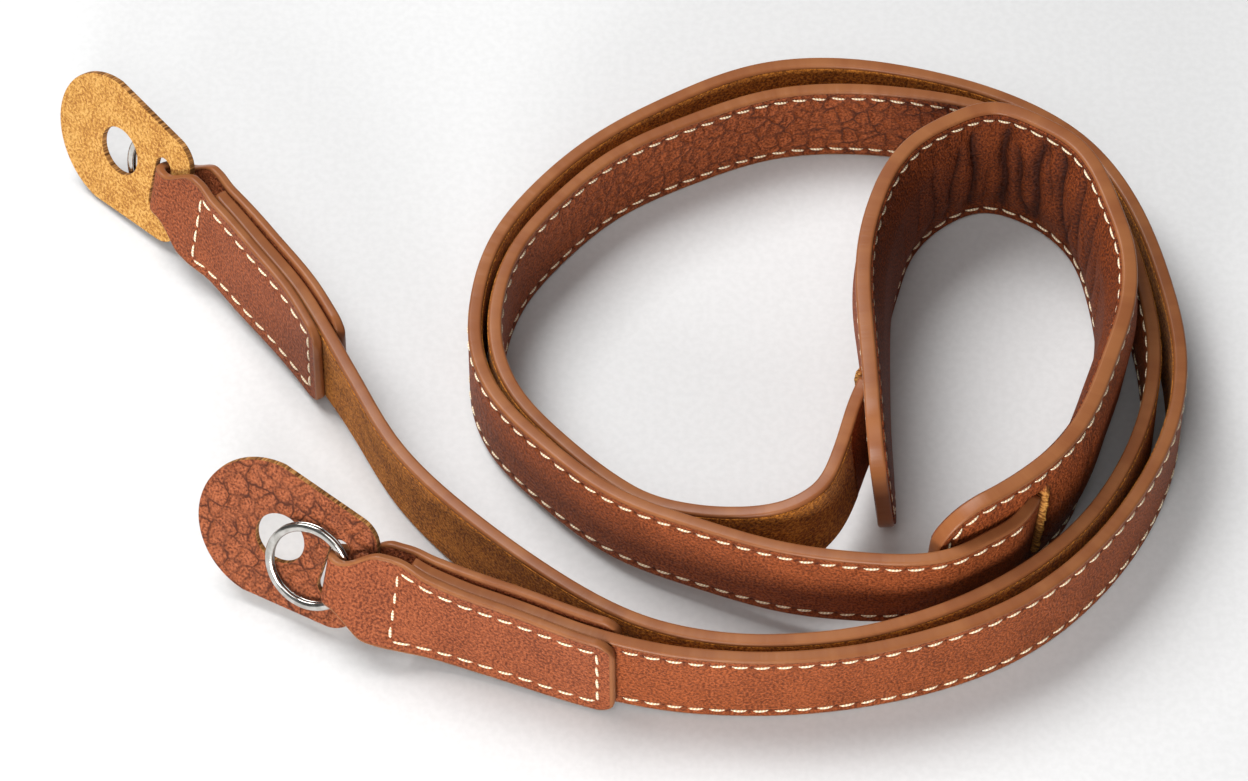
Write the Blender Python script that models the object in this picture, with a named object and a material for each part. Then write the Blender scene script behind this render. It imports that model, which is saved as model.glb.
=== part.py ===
"""A camera neck strap of leather, lying in a loose coil on its edges.

Two straps run side by side round the coil, suede to suede. Each starts at a folded end tab that
holds a split ring and a lug protector, and ends in a slot near one tip of the padded neck pad, which
stands in the coil as a bight. Units are metres, +Z is up, and the origin is at the middle of the
bottom of the whole strap.
"""
import math

import bmesh
import bpy
import numpy as np
from mathutils import Matrix, Vector

# Strap: grain leather with a suede backing
STRAP_WIDTH = 0.015
LEATHER_THICKNESS = 0.0012
SUEDE_THICKNESS = 0.0007
EDGE_BEVEL = 0.0004
SUEDE_INSET = 0.0003

# Fits
CLEARANCE = 0.0003
STRAP_GAP = 0.0008

# Coil: width and depth over the outer strap's centre line
COIL_WIDTH = 0.1065
COIL_DEPTH = 0.1162

# Neck pad
PAD_WIDTH = 0.026
PAD_EDGE_THICKNESS = 0.0026
PAD_CROWN = 0.0011
LINING_CROWN = 0.0007
PAD_TIP_RADIUS = 0.009
PAD_FLAT_LENGTH = 0.024
SLOT_FROM_TIP = 0.0165
SLOT_LENGTH = 0.0032
SLOT_SIDE_CLEARANCE = 0.0006

# End tabs
TAB_WIDTH = 0.0165
TAB_THICKNESS = 0.0015
TAB_LENGTH = 0.045
TAB_NECK_WIDTH = 0.0082
TAB_SHOULDER_LENGTH = 0.0064
TAB_TAPER = 0.0010
TAB_TAPER_LENGTH = 0.0220
TAB_CORNER_RADIUS = 0.003
TAB_OVERLAP_START = 0.0118
TAB_PLAY = 0.0005
TAB_STRAIGHT = 0.0090

# Lug protectors
PROTECTOR_THICKNESS = 0.0011
PROTECTOR_ROUND_RADIUS = 0.0116
PROTECTOR_BASE_WIDTH = 0.0200
PROTECTOR_BASE_RADIUS = 0.0045
PROTECTOR_BASE_LENGTH = 0.0056
HOLE_DIAMETER = 0.0080
HOLE_FROM_SLOT = 0.0094
HOLE_FROM_TIP = 0.0138
PROTECTOR_SLOT_LENGTH = 0.0102
PROTECTOR_SLOT_WIDTH = 0.0033

# Split rings
RING_OUTER_DIAMETER = 0.0142
RING_WIRE = 0.0013

# How each end lies: the protector's tilt in its own plane, tip up, how far the tab sits below the
# middle of the protector's slot, and how far the ring's middle lies out from the slot
END_A_TILT_DEG = 8.0
END_A_DROP = 0.0007
END_A_RING_OUT = 0.0036
END_B_TILT_DEG = 2.5
END_B_DROP = 0.0004
END_B_RING_OUT = 0.0020

# Mesh
STATION_STEP = 0.0045
TAB_STEP = 0.0022
PAD_STEP = 0.0040

STRAP_THICKNESS = LEATHER_THICKNESS + CLEARANCE + SUEDE_THICKNESS
SLOT_RISE = (PAD_WIDTH - STRAP_WIDTH) / 2

# Route of strap A, from its tab to the pad. x and y are shares of the coil's width and depth from its
# middle, gap is the extra room to strap B as a share of the coil's width (None where B runs apart),
# slot_rise and tab_rise say how much of each rise is taken up, and lean is in degrees, top outward.
# The first row is the protector's slot; the strap is straight from there to the second row.
ROUTE_A = [
    # x, y, gap, slot_rise, tab_rise, lean
    (-0.688, -0.337, None, 0.00, 1.00, -23.0),
    (-0.613, -0.372, None, 0.00, 1.00, -23.0),
    (-0.550, -0.394, None, 0.00, 0.82, -8.0),
    (-0.495, -0.412, None, 0.00, 0.68, -3.0),
    (-0.435, -0.432, None, 0.00, 0.56, -2.0),
    (-0.323, -0.471, None, 0.00, 0.40, 1.0),
    (-0.188, -0.493, None, 0.00, 0.05, 3.0),
    (-0.080, -0.496, 0.000, 0.00, 0.00, 4.0),
    (0.029, -0.485, 0.000, 0.00, 0.00, 4.0),
    (0.137, -0.459, 0.004, 0.00, 0.00, 3.0),
    (0.249, -0.411, 0.009, 0.00, 0.00, 2.0),
    (0.364, -0.318, 0.007, 0.00, 0.00, 1.0),
    (0.444, -0.207, 0.008, 0.00, 0.00, 0.0),
    (0.490, -0.091, 0.010, 0.00, 0.00, 0.0),
    (0.500, 0.003, 0.007, 0.00, 0.00, 0.0),
    (0.487, 0.111, 0.003, 0.00, 0.00, 0.0),
    (0.448, 0.251, 0.000, 0.00, 0.00, 0.0),
    (0.380, 0.361, 0.000, 0.00, 0.00, 0.0),
    (0.264, 0.440, 0.001, 0.00, 0.00, 0.0),
    (0.148, 0.480, 0.012, 0.00, 0.00, 0.0),
    (0.030, 0.499, 0.022, 0.00, 0.00, 0.0),
    (-0.090, 0.488, 0.025, 0.00, 0.00, 0.0),
    (-0.212, 0.435, 0.019, 0.00, 0.00, 0.0),
    (-0.327, 0.361, 0.010, 0.00, 0.00, 0.0),
    (-0.413, 0.275, 0.008, 0.00, 0.00, 0.0),
    (-0.471, 0.186, 0.004, 0.00, 0.00, 0.0),
    (-0.498, 0.085, 0.000, 0.00, 0.00, 0.0),
    (-0.498, -0.001, 0.000, 0.03, 0.00, 0.0),
    (-0.468, -0.086, 0.000, 0.14, 0.00, 0.0),
    (-0.399, -0.171, 0.000, 0.30, 0.00, 0.0),
    (-0.297, -0.260, 0.001, 0.46, 0.00, 0.0),
    (-0.186, -0.313, None, 0.60, 0.00, 0.0),
    (-0.076, -0.353, None, 0.72, 0.00, 0.0),
    (0.033, -0.374, None, 0.85, 0.00, 1.0),
]

# Strap B's own rows before and after the stretch that it shares with strap A.
ROUTE_B_START = [
    # x, y, slot_rise, tab_rise, lean
    (-0.966, 0.307, 0.00, 1.00, -16.0),
    (-0.906, 0.253, 0.00, 1.00, -16.0),
    (-0.870, 0.218, 0.00, 0.95, -9.0),
    (-0.820, 0.158, 0.00, 0.85, -7.0),
    (-0.760, 0.085, 0.00, 0.70, -5.0),
    (-0.714, 0.018, 0.00, 0.50, -1.0),
    (-0.672, -0.050, 0.00, 0.20, 2.0),
    (-0.608, -0.160, 0.00, 0.00, 3.0),
    (-0.500, -0.278, 0.00, 0.00, 2.0),
    (-0.379, -0.377, 0.00, 0.00, 1.0),
    (-0.243, -0.452, 0.00, 0.00, 0.0),
]
ROUTE_B_END = [
    (-0.187, -0.281, 0.30, 0.00, 0.0),
    (-0.132, -0.291, 0.48, 0.00, 0.0),
    (-0.077, -0.292, 0.70, 0.00, 0.0),
    (-0.022, -0.270, 0.90, 0.00, -1.0),
    (0.016, -0.211, 1.00, 0.00, -5.0),
]

# Route of the pad, from the tip that takes strap A to the tip that takes strap B.
ROUTE_PAD = [
    # x, y, lean
    (0.131, -0.351, 5.0),
    (0.200, -0.315, 5.0),
    (0.272, -0.268, 4.0),
    (0.336, -0.193, 4.0),
    (0.375, -0.099, 5.0),
    (0.405, -0.012, 5.0),
    (0.416, 0.076, 4.0),
    (0.404, 0.168, 1.0),
    (0.367, 0.268, -2.0),
    (0.310, 0.316, -4.0),
    (0.244, 0.338, -4.0),
    (0.188, 0.318, -3.0),
    (0.128, 0.267, 1.0),
    (0.090, 0.188, 5.0),
    (0.068, 0.101, 6.0),
    (0.064, -0.003, 7.0),
    (0.069, -0.126, 7.0),
    (0.071, -0.240, 7.0),
]

# How a strap comes down from the pad's face into its slot: s as a share of the slot's distance from
# the pad's tip, and depth as a share of the way into the slot.
SEAT_A = [(0.15, -0.08), (0.45, -0.05), (0.72, 0.05), (0.88, 0.38), (1.02, 0.85)]
SEAT_B = [(0.88, 0.38), (1.02, 0.85)]


def arc_points(x, z, radius, start, end, count):
    """Points of an arc about (x, z), angles in degrees."""
    angles = np.radians(np.linspace(start, end, count))
    return [(x + radius * math.cos(a), z + radius * math.sin(a)) for a in angles]


def protector_outline():
    """The protector's outline, counter-clockwise, its slot on the origin and X toward its tip."""
    round_x = HOLE_FROM_SLOT + HOLE_FROM_TIP - PROTECTOR_ROUND_RADIUS
    corner_x = -PROTECTOR_BASE_LENGTH + PROTECTOR_BASE_RADIUS
    corner_z = PROTECTOR_BASE_WIDTH / 2 - PROTECTOR_BASE_RADIUS
    return (arc_points(round_x, 0, PROTECTOR_ROUND_RADIUS, -86, 86, 25)
            + arc_points(corner_x, corner_z, PROTECTOR_BASE_RADIUS, 94, 180, 7)
            + arc_points(corner_x, -corner_z, PROTECTOR_BASE_RADIUS, 180, 266, 7))


def slot_height(tilt_deg):
    """Height of the slot's middle over the protector's lowest point, in the protector's plane."""
    tilt = math.radians(tilt_deg)
    return -min(z * math.cos(tilt) + x * math.sin(tilt) for x, z in protector_outline())


def spline_second(knots, rows, start_slope=None):
    """Second derivatives of a cubic spline through rows (n, k) at the given knots (n)."""
    n = len(knots)
    h = np.diff(knots)
    system = np.eye(n)
    right = np.zeros_like(rows)
    for i in range(1, n - 1):
        system[i, i - 1:i + 2] = h[i - 1], 2 * (h[i - 1] + h[i]), h[i]
        right[i] = 6 * ((rows[i + 1] - rows[i]) / h[i] - (rows[i] - rows[i - 1]) / h[i - 1])
    if start_slope is not None:
        system[0, :2] = 2 * h[0], h[0]
        right[0] = 6 * ((rows[1] - rows[0]) / h[0] - start_slope)
    return np.linalg.solve(system, right)


def spline_at(knots, rows, second, t):
    """The spline's values and slopes at t."""
    i = np.clip(np.searchsorted(knots, t) - 1, 0, len(knots) - 2)
    h = (knots[i + 1] - knots[i])[:, None]
    a = (knots[i + 1] - t)[:, None]
    b = (t - knots[i])[:, None]
    value = ((second[i] * a ** 3 + second[i + 1] * b ** 3) / (6 * h)
             + (rows[i] / h - second[i] * h / 6) * a + (rows[i + 1] / h - second[i + 1] * h / 6) * b)
    slope = ((second[i + 1] * b ** 2 - second[i] * a ** 2) / (2 * h)
             + (rows[i + 1] - rows[i]) / h - (second[i + 1] - second[i]) * h / 6)
    return value, slope


def eased_at(knots, values, t):
    """Values between the knots without overshoot: level at every local extreme."""
    h = np.diff(knots)
    secants = np.diff(values) / h
    slopes = np.zeros(len(knots))
    same = secants[:-1] * secants[1:] > 0
    slopes[1:-1][same] = 2 / (1 / secants[:-1][same] + 1 / secants[1:][same])
    i = np.clip(np.searchsorted(knots, t) - 1, 0, len(knots) - 2)
    u = (t - knots[i]) / h[i]
    return (values[i] * (1 + 2 * u) * (1 - u) ** 2 + values[i + 1] * u * u * (3 - 2 * u)
            + h[i] * u * (1 - u) * (slopes[i] * (1 - u) - slopes[i + 1] * u))


class Ribbon:
    """A strip standing on its edge along a route.

    place(s, v, w) gives the point at length s along the route, height v above the strip's lower edge
    and distance w to the outside of the coil. Rows are (x, y, rise, lean) of the strip's middle line.
    With a straight start the first row only gives the direction of the straight stretch before s = 0.
    """

    def __init__(self, rows, width, thickness, straight_start):
        rows = np.array(rows, float)
        self.width = width
        self.thickness = thickness
        start_slope = None
        if straight_start:
            first = rows[1, :2] - rows[0, :2]
            start_slope = first / np.linalg.norm(first)
            rows = rows[1:]
        self.rows = rows
        chords = np.hypot(*np.diff(rows[:, :2], axis=0).T)
        self.knots = np.concatenate([[0.0], np.cumsum(chords)])
        self.second = spline_second(self.knots, rows[:, :2], start_slope)
        self.fine = np.linspace(0, self.knots[-1], 3000)
        points, _ = spline_at(self.knots, rows[:, :2], self.second, self.fine)
        steps = np.hypot(*np.diff(points, axis=0).T)
        self.lengths = np.concatenate([[0.0], np.cumsum(steps)])
        self.length = self.lengths[-1]

    def frame(self, s):
        """Middle points, outward normals, rises and leans (radians) at lengths s."""
        s = np.atleast_1d(np.asarray(s, float))
        inside = np.clip(s, 0, self.length)
        t = np.interp(inside, self.lengths, self.fine)
        value, slope = spline_at(self.knots, self.rows[:, :2], self.second, t)
        along = slope / np.linalg.norm(slope, axis=1)[:, None]
        point = value + along * (s - inside)[:, None]
        outward = np.stack([along[:, 1], -along[:, 0]], axis=1)
        rise = eased_at(self.knots, self.rows[:, 2], t)
        lean = np.radians(eased_at(self.knots, self.rows[:, 3], t))
        return point, outward, rise, lean

    def middle_height(self, rise, lean):
        """Height of the middle line: the strip's lower corner is at the rise however it leans."""
        return rise + self.width / 2 * np.cos(lean) + self.thickness / 2 * np.abs(np.sin(lean))

    def place(self, s, v, w):
        point, outward, rise, lean = self.frame(s)
        high = v - self.width / 2
        side = w * np.cos(lean) + high * np.sin(lean)
        up = self.middle_height(rise, lean) + high * np.cos(lean) - w * np.sin(lean)
        return np.column_stack([point + outward * side[:, None], up])


def share_rows(table, tab_height):
    """Table rows (x, y, slot_rise, tab_rise, lean) as metres, a rise in metres, and degrees."""
    return [(x * COIL_WIDTH, y * COIL_DEPTH, slot_rise * SLOT_RISE + tab_rise * tab_height, lean)
            for x, y, slot_rise, tab_rise, lean in table]


def seat_rows(pad, table, from_start):
    """Rows of a strap that lies on the pad's outer face and dips into the slot near one tip."""
    lie = PAD_EDGE_THICKNESS / 2 + 2 * CLEARANCE + STRAP_THICKNESS / 2
    sunk = PAD_EDGE_THICKNESS / 2 - STRAP_THICKNESS / 2 + LEATHER_THICKNESS / 2
    result = []
    for share, depth in table:
        distance = share * SLOT_FROM_TIP
        s = distance if from_start else pad.length - distance
        point = pad.place(s, np.array([PAD_WIDTH / 2]), lie + (sunk - lie) * depth)[0]
        lean = pad.frame(s)[3][0]
        height = (STRAP_WIDTH * math.cos(lean) + STRAP_THICKNESS * abs(math.sin(lean))) / 2
        result.append((point[0], point[1], point[2] - height,
                       math.degrees(lean) * (1 if from_start else -1)))
    return result


def inner_rows(table, ribbon):
    """Strap B's rows beside strap A, one strap and its gap further inside the coil."""
    result = []
    for row, knot in zip(table[1:], ribbon.knots):
        gap = row[2]
        if gap is None:
            continue
        s = np.interp(knot, ribbon.fine, ribbon.lengths)
        point, outward, _, lean = ribbon.frame(s)
        x, y = point[0] - outward[0] * (STRAP_THICKNESS + STRAP_GAP + gap * COIL_WIDTH)
        result.append((x, y, 0.0, math.degrees(lean[0])))
    return result


def strap_ribbon(rows):
    return Ribbon(rows, STRAP_WIDTH, STRAP_THICKNESS, True)


# How far each tab holds its strap off the floor: the protector is wider than the strap
TAB_RISE_A = slot_height(END_A_TILT_DEG) - END_A_DROP - STRAP_WIDTH / 2
TAB_RISE_B = slot_height(END_B_TILT_DEG) - END_B_DROP - STRAP_WIDTH / 2

pad_rows = [(x * COIL_WIDTH, y * COIL_DEPTH, 0.0, lean) for x, y, lean in ROUTE_PAD]
pad_route = Ribbon(pad_rows, PAD_WIDTH, PAD_EDGE_THICKNESS, False)
rows_a = share_rows([(x, y, slot, tab, lean) for x, y, gap, slot, tab, lean in ROUTE_A], TAB_RISE_A)
route_a = strap_ribbon(rows_a + seat_rows(pad_route, SEAT_A, True))
rows_b = share_rows(ROUTE_B_START, TAB_RISE_B) + inner_rows(ROUTE_A, route_a)
rows_b = rows_b + share_rows(ROUTE_B_END, TAB_RISE_B)
route_b = strap_ribbon(rows_b + seat_rows(pad_route, SEAT_B, False))


def material(name, colour, roughness, metallic=0.0):
    """A Principled material from an sRGB colour in 0..1."""
    linear = [c / 12.92 if c <= 0.04045 else ((c + 0.055) / 1.055) ** 2.4 for c in colour]
    result = bpy.data.materials.new(name)
    result.use_nodes = True
    shader = result.node_tree.nodes["Principled BSDF"]
    shader.inputs["Base Color"].default_value = (*linear, 1.0)
    shader.inputs["Roughness"].default_value = roughness
    shader.inputs["Metallic"].default_value = metallic
    return result


def add_object(name, mesh, look):
    obj = bpy.data.objects.new(name, mesh)
    bpy.context.scene.collection.objects.link(obj)
    mesh.materials.append(look)
    mesh.shade_smooth()
    mesh.set_sharp_from_angle(angle=math.radians(35))
    return obj


def loft(name, sections, look):
    """A closed solid through sections (m, k, 3): quads between them and a face on each end."""
    count, size, _ = sections.shape
    bm = bmesh.new()
    rings = [[bm.verts.new(p) for p in section] for section in sections]
    for first, second in zip(rings, rings[1:]):
        for j in range(size):
            k = (j + 1) % size
            bm.faces.new((first[j], first[k], second[k], second[j]))
    bm.faces.new(rings[0][::-1])
    bm.faces.new(rings[-1])
    bmesh.ops.recalc_face_normals(bm, faces=bm.faces)
    bmesh.ops.triangulate(bm, faces=bm.faces)
    mesh = bpy.data.meshes.new(name)
    bm.to_mesh(mesh)
    bm.free()
    return add_object(name, mesh, look)


def stations(start, end, step):
    return np.linspace(start, end, max(2, math.ceil((end - start) / step) + 1))


def strip(name, route, profile, lengths, look):
    """A strip of constant profile [(v, w), ...] along a route."""
    sections = np.stack([route.place(lengths, np.full(len(lengths), v), np.full(len(lengths), w))
                         for v, w in profile], axis=1)
    return loft(name, sections, look)


def make_strap(letter, route, grain_side, leather_look, suede_look):
    """The two layers of one strap. grain_side is 1 where the grain faces out of the coil, else -1."""
    half = STRAP_THICKNESS / 2
    inner = half - LEATHER_THICKNESS
    leather = [(0, inner), (0, half - EDGE_BEVEL), (EDGE_BEVEL, half),
               (STRAP_WIDTH - EDGE_BEVEL, half), (STRAP_WIDTH, half - EDGE_BEVEL), (STRAP_WIDTH, inner)]
    suede = [(SUEDE_INSET, -half), (SUEDE_INSET, -half + SUEDE_THICKNESS),
             (STRAP_WIDTH - SUEDE_INSET, -half + SUEDE_THICKNESS), (STRAP_WIDTH - SUEDE_INSET, -half)]
    start = TAB_OVERLAP_START - TAB_STRAIGHT
    suede_end = route.length - SLOT_LENGTH - 3 * STRAP_THICKNESS
    for layer, profile, end, look in (("leather", leather, route.length, leather_look),
                                      ("suede", suede, suede_end, suede_look)):
        sided = [(v, w * grain_side) for v, w in profile]
        lengths = np.concatenate([stations(start, TAB_LENGTH, TAB_STEP)[:-1],
                                  stations(TAB_LENGTH, end, STATION_STEP)])
        strip(f"strap_{letter}_{layer}", route, sided, lengths, look)


def tip_inset(distance, radius):
    """How far a rounded corner of the given radius cuts in at a distance from the end."""
    reach = np.clip(radius - distance, 0, radius)
    return radius - np.sqrt(radius ** 2 - reach ** 2)


def make_pad_half(name, route, side, crown, look):
    """One half of the pad, flat in the middle plane and crowned outside. side is 1 for the outer."""
    tips = PAD_TIP_RADIUS * np.array([0.0, 0.03, 0.12, 0.30, 0.60])
    lengths = np.concatenate([tips, stations(PAD_TIP_RADIUS, route.length - PAD_TIP_RADIUS, PAD_STEP),
                              route.length - tips[::-1]])
    near = np.minimum(lengths, route.length - lengths)
    inset = tip_inset(near, PAD_TIP_RADIUS)
    swell = np.clip((near - PAD_FLAT_LENGTH) / PAD_FLAT_LENGTH, 0, 1)
    swell = swell * swell * (3 - 2 * swell)
    profile = []
    for share, rise in ((0.0, 0.0), (0.03, 0.0), (0.16, 0.55), (0.34, 0.92), (0.5, 1.0),
                        (0.66, 0.92), (0.84, 0.55), (0.97, 0.0), (1.0, 0.0)):
        corner = EDGE_BEVEL if share in (0.0, 1.0) else 0.0
        v = inset + share * (PAD_WIDTH - 2 * inset)
        w = PAD_EDGE_THICKNESS / 2 - corner + rise * crown * swell
        profile.append(route.place(lengths, v, side * w))
    for share in (1.0, 0.0):
        v = inset + share * (PAD_WIDTH - 2 * inset)
        profile.append(route.place(lengths, v, np.full(len(lengths), side * CLEARANCE / 2)))
    return loft(name, np.stack(profile, axis=1), look)


def cut(obj, cutter):
    """Cuts a hidden cutter from an object with a Boolean modifier."""
    cutter.hide_render = True
    cutter.display_type = "WIRE"
    modifier = obj.modifiers.new("cut_" + cutter.name, "BOOLEAN")
    modifier.operation = "DIFFERENCE"
    modifier.solver = "EXACT"
    modifier.object = cutter


def route_matrix(route, s):
    """Middle of a route at s: X back along the route, Y to the outside, Z up the leaning strip."""
    point, outward, rise, lean = (value[0] for value in route.frame(s))
    lean_in, lean_up = math.sin(lean), math.cos(lean)
    y_axis = Vector((outward[0] * lean_up, outward[1] * lean_up, -lean_in))
    z_axis = Vector((outward[0] * lean_in, outward[1] * lean_in, lean_up))
    x_axis = y_axis.cross(z_axis)
    matrix = Matrix((x_axis, y_axis, z_axis)).transposed().to_4x4()
    matrix.translation = (point[0], point[1], route.middle_height(rise, lean))
    return matrix


def cut_pad_slot(pad, name, from_start, look):
    """The slot through the pad's outer half that takes a strap's end."""
    s = SLOT_FROM_TIP if from_start else pad_route.length - SLOT_FROM_TIP
    bm = bmesh.new()
    bmesh.ops.create_cube(bm, size=1.0)
    size = (SLOT_LENGTH, 4 * PAD_EDGE_THICKNESS, STRAP_WIDTH + 2 * SLOT_SIDE_CLEARANCE)
    bmesh.ops.scale(bm, vec=size, verts=bm.verts)
    mesh = bpy.data.meshes.new(name)
    bm.to_mesh(mesh)
    bm.free()
    cutter = add_object(name, mesh, look)
    cutter.matrix_world = route_matrix(pad_route, s)
    cut(pad, cutter)


def plate(name, outline, thickness, look):
    """A flat plate in the XZ plane, its outline counter-clockwise, its thickness along Y."""
    bm = bmesh.new()
    face = bm.faces.new([bm.verts.new((x, -thickness / 2, z)) for x, z in outline])
    moved = bmesh.ops.extrude_face_region(bm, geom=[face])
    verts = [item for item in moved["geom"] if isinstance(item, bmesh.types.BMVert)]
    bmesh.ops.translate(bm, vec=(0, thickness, 0), verts=verts)
    bmesh.ops.recalc_face_normals(bm, faces=bm.faces)
    mesh = bpy.data.meshes.new(name)
    bm.to_mesh(mesh)
    bm.free()
    return add_object(name, mesh, look)


def slot_outline(length, width):
    """A rounded slot centred on the origin, long along Z."""
    straight = (length - width) / 2
    return (arc_points(0, straight, width / 2, 0, 180, 7)
            + arc_points(0, -straight, width / 2, 180, 360, 7))


def make_protector(letter, matrix, look):
    """An oblong disc with a round hole for the lug and a slot for the tab, X pointing to its tip."""
    body = plate(f"lug_protector_{letter}", protector_outline(), PROTECTOR_THICKNESS, look)
    hole = arc_points(HOLE_FROM_SLOT, 0, HOLE_DIAMETER / 2, 0, 345, 24)
    slot = slot_outline(PROTECTOR_SLOT_LENGTH, PROTECTOR_SLOT_WIDTH)
    for kind, points in (("hole", hole), ("slot", slot)):
        cutter = plate(f"protector_{kind}_cutter_{letter}", points, 3 * PROTECTOR_THICKNESS, look)
        cutter.matrix_world = matrix
        cut(body, cutter)
    body.matrix_world = matrix


def make_ring(letter, matrix, side, look):
    """A split ring, drawn as one ring, flat against the protector's grain side."""
    major = (RING_OUTER_DIAMETER - RING_WIRE) / 2
    bpy.ops.mesh.primitive_torus_add(major_segments=16, minor_segments=6, major_radius=major,
                                     minor_radius=RING_WIRE / 2)
    ring = bpy.context.object
    ring.name = f"split_ring_{letter}"
    ring.data.name = ring.name
    ring.data.materials.append(look)
    ring.data.shade_smooth()
    away = side * (PROTECTOR_THICKNESS / 2 + CLEARANCE + RING_WIRE / 2)
    ring.matrix_world = matrix @ Matrix.Translation((0, away, 0)) @ Matrix.Rotation(math.pi / 2, 4, "X")


def tab_half_width(along, end_distance):
    """Half the tab's width: neck at the fold, shoulders, slightly tapered body, rounded corners."""
    grown = np.clip((along - TAB_THICKNESS) / TAB_SHOULDER_LENGTH, 0, 1)
    grown = grown * grown * (3 - 2 * grown)
    tapered = TAB_TAPER * (1 - np.clip(along / TAB_TAPER_LENGTH, 0, 1))
    half = TAB_NECK_WIDTH / 2 + grown * ((TAB_WIDTH - TAB_NECK_WIDTH) / 2 - tapered)
    return half - tip_inset(end_distance, TAB_CORNER_RADIUS)


def make_tab(letter, route, side, look):
    """The folded tab: along the back, through the protector's slot, over the ring and back again.

    Its centre line is drawn in lengths from the protector's slot and distances from the middle.
    """
    half = TAB_THICKNESS / 2
    body_w = STRAP_THICKNESS / 2 + TAB_PLAY + half
    back_w = PROTECTOR_THICKNESS / 2 + TAB_PLAY + half
    front_w = PROTECTOR_THICKNESS / 2 + CLEARANCE + RING_WIRE + TAB_PLAY + half
    base = TAB_STRAIGHT
    body_start = TAB_OVERLAP_START
    fold = [
        (body_start + TAB_STEP, -body_w), (body_start, -body_w), (base, -(back_w + body_w) / 2),
        (base * 0.6, -back_w), (base * 0.30, -back_w * 1.03), (TAB_THICKNESS, -back_w * 1.02),
        (TAB_THICKNESS * 0.36, -back_w * 0.85), (0.0, -half * 1.1), (0.0, front_w * 0.42),
        (TAB_THICKNESS * 0.24, front_w * 0.76), (TAB_THICKNESS, front_w * 0.98),
        (base * 0.35, front_w * 1.06), (base * 0.65, front_w * 0.99), (base, (front_w + body_w) / 2),
        (body_start, body_w), (body_start + TAB_STEP, body_w)]
    fold = np.array(fold)
    chords = np.concatenate([[0.0], np.cumsum(np.hypot(*np.diff(fold, axis=0).T))])
    second = spline_second(chords, fold)
    t = stations(0, chords[-1], TAB_STEP / 2)
    centre, slope = spline_at(chords, fold, second, t)
    flat = stations(body_start + 2 * TAB_STEP, TAB_LENGTH - TAB_CORNER_RADIUS, TAB_STEP)
    corner = TAB_LENGTH - TAB_CORNER_RADIUS * np.array([0.6, 0.3, 0.1, 0.0])
    flat = np.concatenate([flat, corner])
    along = np.concatenate([flat[::-1], centre[:, 0], flat])
    away = np.concatenate([np.full(len(flat), -body_w), centre[:, 1], np.full(len(flat), body_w)])
    tangent = np.concatenate([np.tile((-1.0, 0.0), (len(flat), 1)),
                              slope / np.linalg.norm(slope, axis=1)[:, None],
                              np.tile((1.0, 0.0), (len(flat), 1))])
    normal = np.stack([-tangent[:, 1], tangent[:, 0]], axis=1)
    width = tab_half_width(along, TAB_LENGTH - along)
    profile = []
    bevel = EDGE_BEVEL
    for v_sign, inset, thick in ((-1, 0, -half), (-1, 0, half - bevel), (-1, bevel, half),
                                 (1, bevel, half), (1, 0, half - bevel), (1, 0, -half)):
        v = STRAP_WIDTH / 2 + v_sign * (width - inset)
        s = along - normal[:, 0] * thick
        w = away - normal[:, 1] * thick
        profile.append(route.place(s - base, v, side * w))
    return loft(f"end_tab_{letter}", np.stack(profile, axis=1), look)


def make_end(letter, route, side, tilt_deg, drop, ring_out, looks):
    """The tab, protector and ring on one strap's end. side is 1 where the grain faces outward."""
    make_tab(letter, route, side, looks["leather"])
    tab_middle = route_matrix(route, -TAB_STRAIGHT)
    tilt = Matrix.Rotation(-math.radians(tilt_deg), 4, "Y")
    make_protector(letter, tab_middle @ Matrix.Translation((0, 0, drop)) @ tilt, looks["protector"])
    make_ring(letter, tab_middle @ Matrix.Translation((ring_out, 0, 0)), side, looks["steel"])


def centre_on_origin():
    """Moves everything so that the origin is at the middle of the bottom of the whole strap."""
    bpy.context.view_layer.update()
    solids = [obj for obj in bpy.context.scene.objects if not obj.hide_render]
    corners = np.array([obj.matrix_world @ vertex.co for obj in solids for vertex in obj.data.vertices])
    low, high = corners.min(axis=0), corners.max(axis=0)
    shift = Matrix.Translation((-(low[0] + high[0]) / 2, -(low[1] + high[1]) / 2, -low[2]))
    for obj in bpy.context.scene.objects:
        obj.matrix_world = shift @ obj.matrix_world


for leftover in list(bpy.data.objects):
    bpy.data.objects.remove(leftover, do_unlink=True)

looks = {
    "leather": material("grain_leather", (0.62, 0.34, 0.22), 0.50),
    "suede": material("suede_backing", (0.56, 0.37, 0.14), 0.95),
    "lining": material("lining_leather", (0.52, 0.26, 0.14), 0.60),
    "protector": material("protector_leather", (0.68, 0.42, 0.25), 0.60),
    "steel": material("polished_steel", (0.80, 0.80, 0.80), 0.20, metallic=1.0),
}

make_strap("a", route_a, 1, looks["leather"], looks["suede"])
make_strap("b", route_b, -1, looks["leather"], looks["suede"])
pad_outer = make_pad_half("pad_outer", pad_route, 1, PAD_CROWN, looks["leather"])
make_pad_half("pad_lining", pad_route, -1, LINING_CROWN, looks["lining"])
cut_pad_slot(pad_outer, "slot_cutter_a", True, looks["leather"])
cut_pad_slot(pad_outer, "slot_cutter_b", False, looks["leather"])
make_end("a", route_a, 1, END_A_TILT_DEG, END_A_DROP, END_A_RING_OUT, looks)
make_end("b", route_b, -1, END_B_TILT_DEG, END_B_DROP, END_B_RING_OUT, looks)
centre_on_origin()
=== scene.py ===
"""Looks of a leather camera neck strap that lies in a loose coil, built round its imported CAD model.

Every piece is worked out on the same routes as the CAD part, at a finer step, with its painted edges,
stitches, puckers and grain. Units are metres, +Z is up.
"""

import math

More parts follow.
